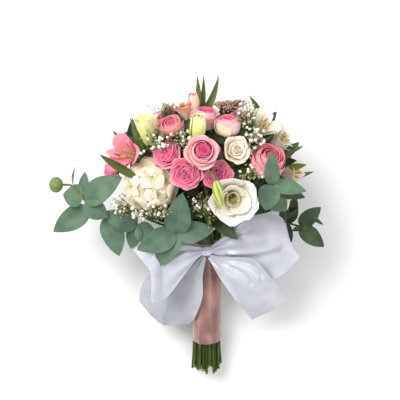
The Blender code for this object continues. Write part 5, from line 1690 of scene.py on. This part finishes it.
def folded(folds, s, t, half, length):
    """How high the folds lift the ribbon at (s, t), from its half width and length."""
    lift = 0.0
    here = Vector((s * half, t * length))
    for start, end, wide, height in folds:
        ends = [Vector((across * half, along * length)) for across, along in (start, end)]
        _, share = intersect_point_line(here, *ends)
        crest = ends[0].lerp(ends[1], min(max(share, 0), 1))
        lift += height * math.exp(-(((here - crest).length / wide) ** 2))
    return lift


def ribbon(bm, lines, along, depth, folds, is_loop):
    """A satin ribbon whose lengthwise lines run through these points, with pleats
    that are so deep at the knot and fade along the ribbon. A loop has them at both
    of its ends."""
    across = RIBBON_ACROSS
    rows = [smooth(line, along + 1) for line in lines]
    surface = [smooth([row[station] for row in rows], across + 1) for station in range(along + 1)]
    middle = surface[along // 2]
    half = sum((b - a).length for a, b in zip(middle, middle[1:])) / 2
    centre = [station[across // 2] for station in surface]
    length = sum((b - a).length for a, b in zip(centre, centre[1:]))
    upward = 1 if lines[0][len(lines[0]) // 2][0] < KNOT[0] else -1

    def place(s, t):
        station, column = round(t * along), round((s + 1) / 2 * across)
        point = surface[station][column]
        ahead = surface[min(station + 1, along)][column] - surface[max(station - 1, 0)][column]
        aside = surface[station][min(column + 1, across)] - surface[station][max(column - 1, 0)]
        normal = ahead.cross(aside).normalized() * upward
        far = min(t, 1 - t) if is_loop else t
        near = max(1 - far / 0.42, 0) ** 1.3 * min(far / 0.05, 1)
        lift = depth * near * math.cos(PLEATS * math.pi * s + 1.2 * math.sin(5 * t))
        lift += folded(folds, s, t, half, length) * min(far / 0.08, 1)
        lift += 0.6 * math.sin(3 * math.pi * t + 2.2 * s) * min(far / 0.1, 1)
        return point + normal * lift

    grid(bm, across, along, place, RIBBON_THICKNESS)


def bow(finishes):
    """The white satin bow: its band, its knot, two loops and two tails."""
    for name, lines in RIBBONS.items():
        bm = new_mesh()
        is_loop = "loop" in name
        along, depth = (LOOP_ALONG, LOOP_PLEAT) if is_loop else (TAIL_ALONG, TAIL_PLEAT)
        ribbon(bm, lines, along, depth, FOLDS[name], is_loop)
        # The left tail shows the satin's matt back, greyed with painted shade
        side = "shaded_satin_back" if name == "left_tail" else "white_satin"
        finished(bm, "bow_" + name, finishes[side], "white_satin", ("bow",))
    bm = new_mesh()
    sleeve(bm, BAND[0], BAND[1] - BAND[0], WRAP_RADIUS + WRAP_WALL + GAP, BAND_RELIEF)
    band = finished(bm, "bow_band", finishes["white_satin"], "white_satin", ("bow",))
    bm = new_mesh()
    knot(bm)
    tied = finished(bm, "bow_knot", finishes["white_satin"], "white_satin", ("bow",))


def knot(bm):
    """The band of ribbon drawn tight round the middle of the bow."""
    centre = Vector(KNOT)

    def place(angle, t):
        lean = math.pi * (t - 0.5)
        wide = math.cos(lean) ** 0.75
        crease = 0.93 + 0.07 * math.cos(7 * angle + 3 * t)
        point = Vector((
            KNOT_RADII[0] * math.sin(lean),
            KNOT_RADII[1] * wide * math.cos(angle) * crease,
            KNOT_RADII[2] * wide * math.sin(angle) * crease,
        ))
        return centre + point

    lathe(bm, 40, 16, place)


# How strongly the folds show on the bow's band and on the wrap, and the steps of
# either, around and along
BAND_RELIEF = 0.25
WRAP_RELIEF = 0.5
SLEEVE_STEPS = (96, 60)


def sleeve(bm, down, length, radius, relief):
    """Satin drawn round the handle, from down below the neck, with radius inside."""

    def place(s, t):
        angle = math.pi * s
        along = down + length * t
        lift = relief * fold_height(angle, t)
        across = SIDE * math.cos(angle) + FRONT * math.sin(angle)
        return NECK - AXIS * along + across * (radius + RIBBON_THICKNESS / 2 + lift)

    grid(bm, *SLEEVE_STEPS, place, RIBBON_THICKNESS)


def fold_height(angle, t):
    """How far the satin stands off the stems: soft ridges down the handle, and small
    puckers near its lower end."""
    ridge = math.exp(-(((math.degrees(angle) - 108 - 8 * t) / 6) ** 2))
    soft = 0.5 * math.sin(3 * angle + 2.2 * t) + 0.3 * math.sin(7 * angle - 5 * t)
    pucker = math.sin(22 * t + 3 * angle) * max(t - 0.66, 0) * 2.8
    return 3.0 * ridge * min(t / 0.3, 1) + soft + pucker


def wrap(finishes):
    """The rose satin round the stems."""
    bm = new_mesh()
    sleeve(bm, 0, WRAP_LENGTH, WRAP_RADIUS, WRAP_RELIEF)
    made = finished(bm, "wrap_satin", finishes["rose_satin"], "rose_satin", ("ribbon_wrap",))


# Finishes by name: kind of finish, material's name, and what that finish takes
FINISHES = {
    "stem": (stem_finish, "green_stem_skin", "#34470A", "#233205", "#50640F"),
    "twig": (stem_finish, "thin_twig_skin", "#56662E", "#2A380A", "#7A8448"),
    "eucalyptus": (
        leaf_finish, "waxy_grey_green_leaf", "#5A745D", "#435A4A", "#70886E", "#97A988"
    ),
    "strap": (
        leaf_finish, "glossy_green_leaf", "#4C5E16", "#36470E", "#66782C", "#869648",
        "#808080", 0.5, 0.08,
    ),
    "dark_leaf": (
        leaf_finish, "dark_green_leaf", "#35492B", "#223118", "#4A603F", "#657C57",
        "#4A4A4A", 0.5, 0.1,
    ),
    "bud": (bud_finish, "furled_bud_skin", "#A6B84C", "#56741E", "#C8D67C"),
    "pod": (plain_finish, "olive_pod_skin", "#7D9048", "#566A30", 1.5, 0.55),
    "bead": (plain_finish, "green_floret_bead", "#A8A468", "#86904E", 1.0, 0.5),
    "anther": (plain_finish, "golden_anther", "#D3A22E", "#9A6E1C", 0.8, 0.7),
    "pistil": (plain_finish, "yellow_green_pistil", "#8E8E34", "#5E6420", 1.0, 0.5),
    "gypsophila": (plain_finish, "gypsophila_floret", "#FBF9F2", "#DCDAC8", 1.0, 0.7, 0.1),
    "calyx": (plain_finish, "gypsophila_calyx", "#B9B08C", "#7E7A54", 0.8, 0.75),
    "limonium": (plain_finish, "limonium_floret", "#CFA89C", "#8E6A60", 1.0, 0.75),
    "rose_satin": (
        satin_finish, "rose_satin_ribbon", "#8E625A", "#754D46", "#B08076", 0.27, 0.7
    ),
    # The satin's matt back: its roughness is its own, its greyer colour is painted shade
    "shaded_satin_back": (satin_finish, "dull_satin_back", "#B2B3B9", "#A6A7AD", "#C2C3C8", 0.6),
    "white_satin": (
        satin_finish, "white_satin_ribbon", "#C8C9D2", "#B9BAC5", "#DADBE3", 0.32, 0.15
    ),
}


def all_finishes():
    """Every material by name: one for each look of petals, and the rest."""
    finishes = {
        kind: petal_finish(kind + "_petal_skin", *colours, STRIPES.get(kind))
        for kind, colours in BLOOM_LOOKS.items()
    }
    for kind, (make, *values) in FINISHES.items():
        finishes[kind] = make(*values)
    return finishes


def stems_and_sprays(runs, finishes):
    """Every stem with its leaves, and the thin sprays with their florets."""
    for node in sorted({run.node for run in runs}):
        own = [run for run in runs if run.node == node]
        eucalyptus = node.startswith("eucalyptus")
        if node in THICK_STEMS:
            kind = "twig" if node == "lisianthus_front_stem" else "stem"
            stem_of(node, own, finishes[kind], "green_stem", STEM_SIDES)
        elif eucalyptus:
            stem_of(node, own, finishes["twig"], "eucalyptus_leaf", THIN_SIDES)
        elif node == "green_bud":
            stem_of(node, own, finishes["stem"], "green_petal", THIN_SIDES)
        else:
            stem_of(node, own, finishes["twig"], node_kind(node), THIN_SIDES)
        if node in LEAVES:
            kind = "eucalyptus" if eucalyptus else "strap"
            kind = "dark_leaf" if node == "eucalyptus_low_right" else kind
            slot = "eucalyptus_leaf" if eucalyptus else "green_stem"
            leaves_of(node, own, finishes[kind], slot)
        if node in CLUSTERS:
            spray_of_florets(node, CLUSTERS[node], own[0].points[-1], finishes)


# The studio, in metres: the floor's half width, the camera over the middle of the
# bouquet, its lens in millimetres, and each light's place, size and power in watts
FLOOR_REACH = 3.0
CAMERA_HEIGHT = 1.6
SENSOR = 36.0
LENS = 117.4
DAYLIGHT_STRENGTH = 0.7
LIGHTS = {
    "key": ((-0.7, 0.7, 1.45), 1.0, 27.0),
    "fill": ((0.9, -0.4, 1.4), 1.4, 7.0),
}


def studio():
    """A pale floor, soft light from above and from the photo's upper left, and a
    camera that looks straight down on the bouquet."""
    bm = bmesh.new()
    bmesh.ops.create_grid(bm, x_segments=1, y_segments=1, size=FLOOR_REACH)
    mesh = bpy.data.meshes.new("floor")
    bm.to_mesh(mesh)
    bm.free()
    floor = bpy.data.objects.new("floor", mesh)
    bpy.context.scene.collection.objects.link(floor)
    pale, _, shader = finish_of("pale_floor", Roughness=0.9)
    shader.inputs["Base Color"].default_value = daylight("#F4F4F3")
    mesh.materials.append(pale)
    floor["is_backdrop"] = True
    world = bpy.data.worlds.new("studio")
    world.use_nodes = True
    back = world.node_tree.nodes["Background"]
    back.inputs["Color"].default_value = daylight("#F6F7FA")
    back.inputs["Strength"].default_value = DAYLIGHT_STRENGTH
    bpy.context.scene.world = world
    bpy.context.scene.view_settings.view_transform = "Standard"
    for name, (place, size, power) in LIGHTS.items():
        light = bpy.data.lights.new(name, "AREA")
        light.size = size
        light.energy = power
        lamp = bpy.data.objects.new(name, light)
        lamp.location = place
        lamp.rotation_euler = (-Vector(place)).to_track_quat("-Z", "Y").to_euler()
        bpy.context.scene.collection.objects.link(lamp)
    camera = bpy.data.cameras.new("camera")
    camera.sensor_width = SENSOR
    camera.lens = LENS
    viewer = bpy.data.objects.new("camera", camera)
    viewer.location = Vector((0.0, 0.0, CAMERA_HEIGHT)) - MIDDLE * METRES
    bpy.context.scene.collection.objects.link(viewer)
    bpy.context.scene.camera = viewer


def write_sizes():
    """Works out the box of the solids and the box of what is shown."""
    boxes = {"cad": CAD_BOX, "visual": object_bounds()}
    sizes = {name: [[float(v) for v in corner] for corner in box] for name, box in boxes.items()}


def main():
    """Builds every piece of the bouquet, and the studio."""
    finishes = all_finishes()
    for name in FLOWERS:
        bloom(name, finishes)
    for name in BALLS:
        hydrangea(name, finishes)
    runs = ease_apart(stem_runs(choose_slots()))
    stems_and_sprays(runs, finishes)
    buds(finishes)
    foliage(runs, finishes)
    wrap(finishes)
    bow(finishes)
    studio()


main()
write_sizes()
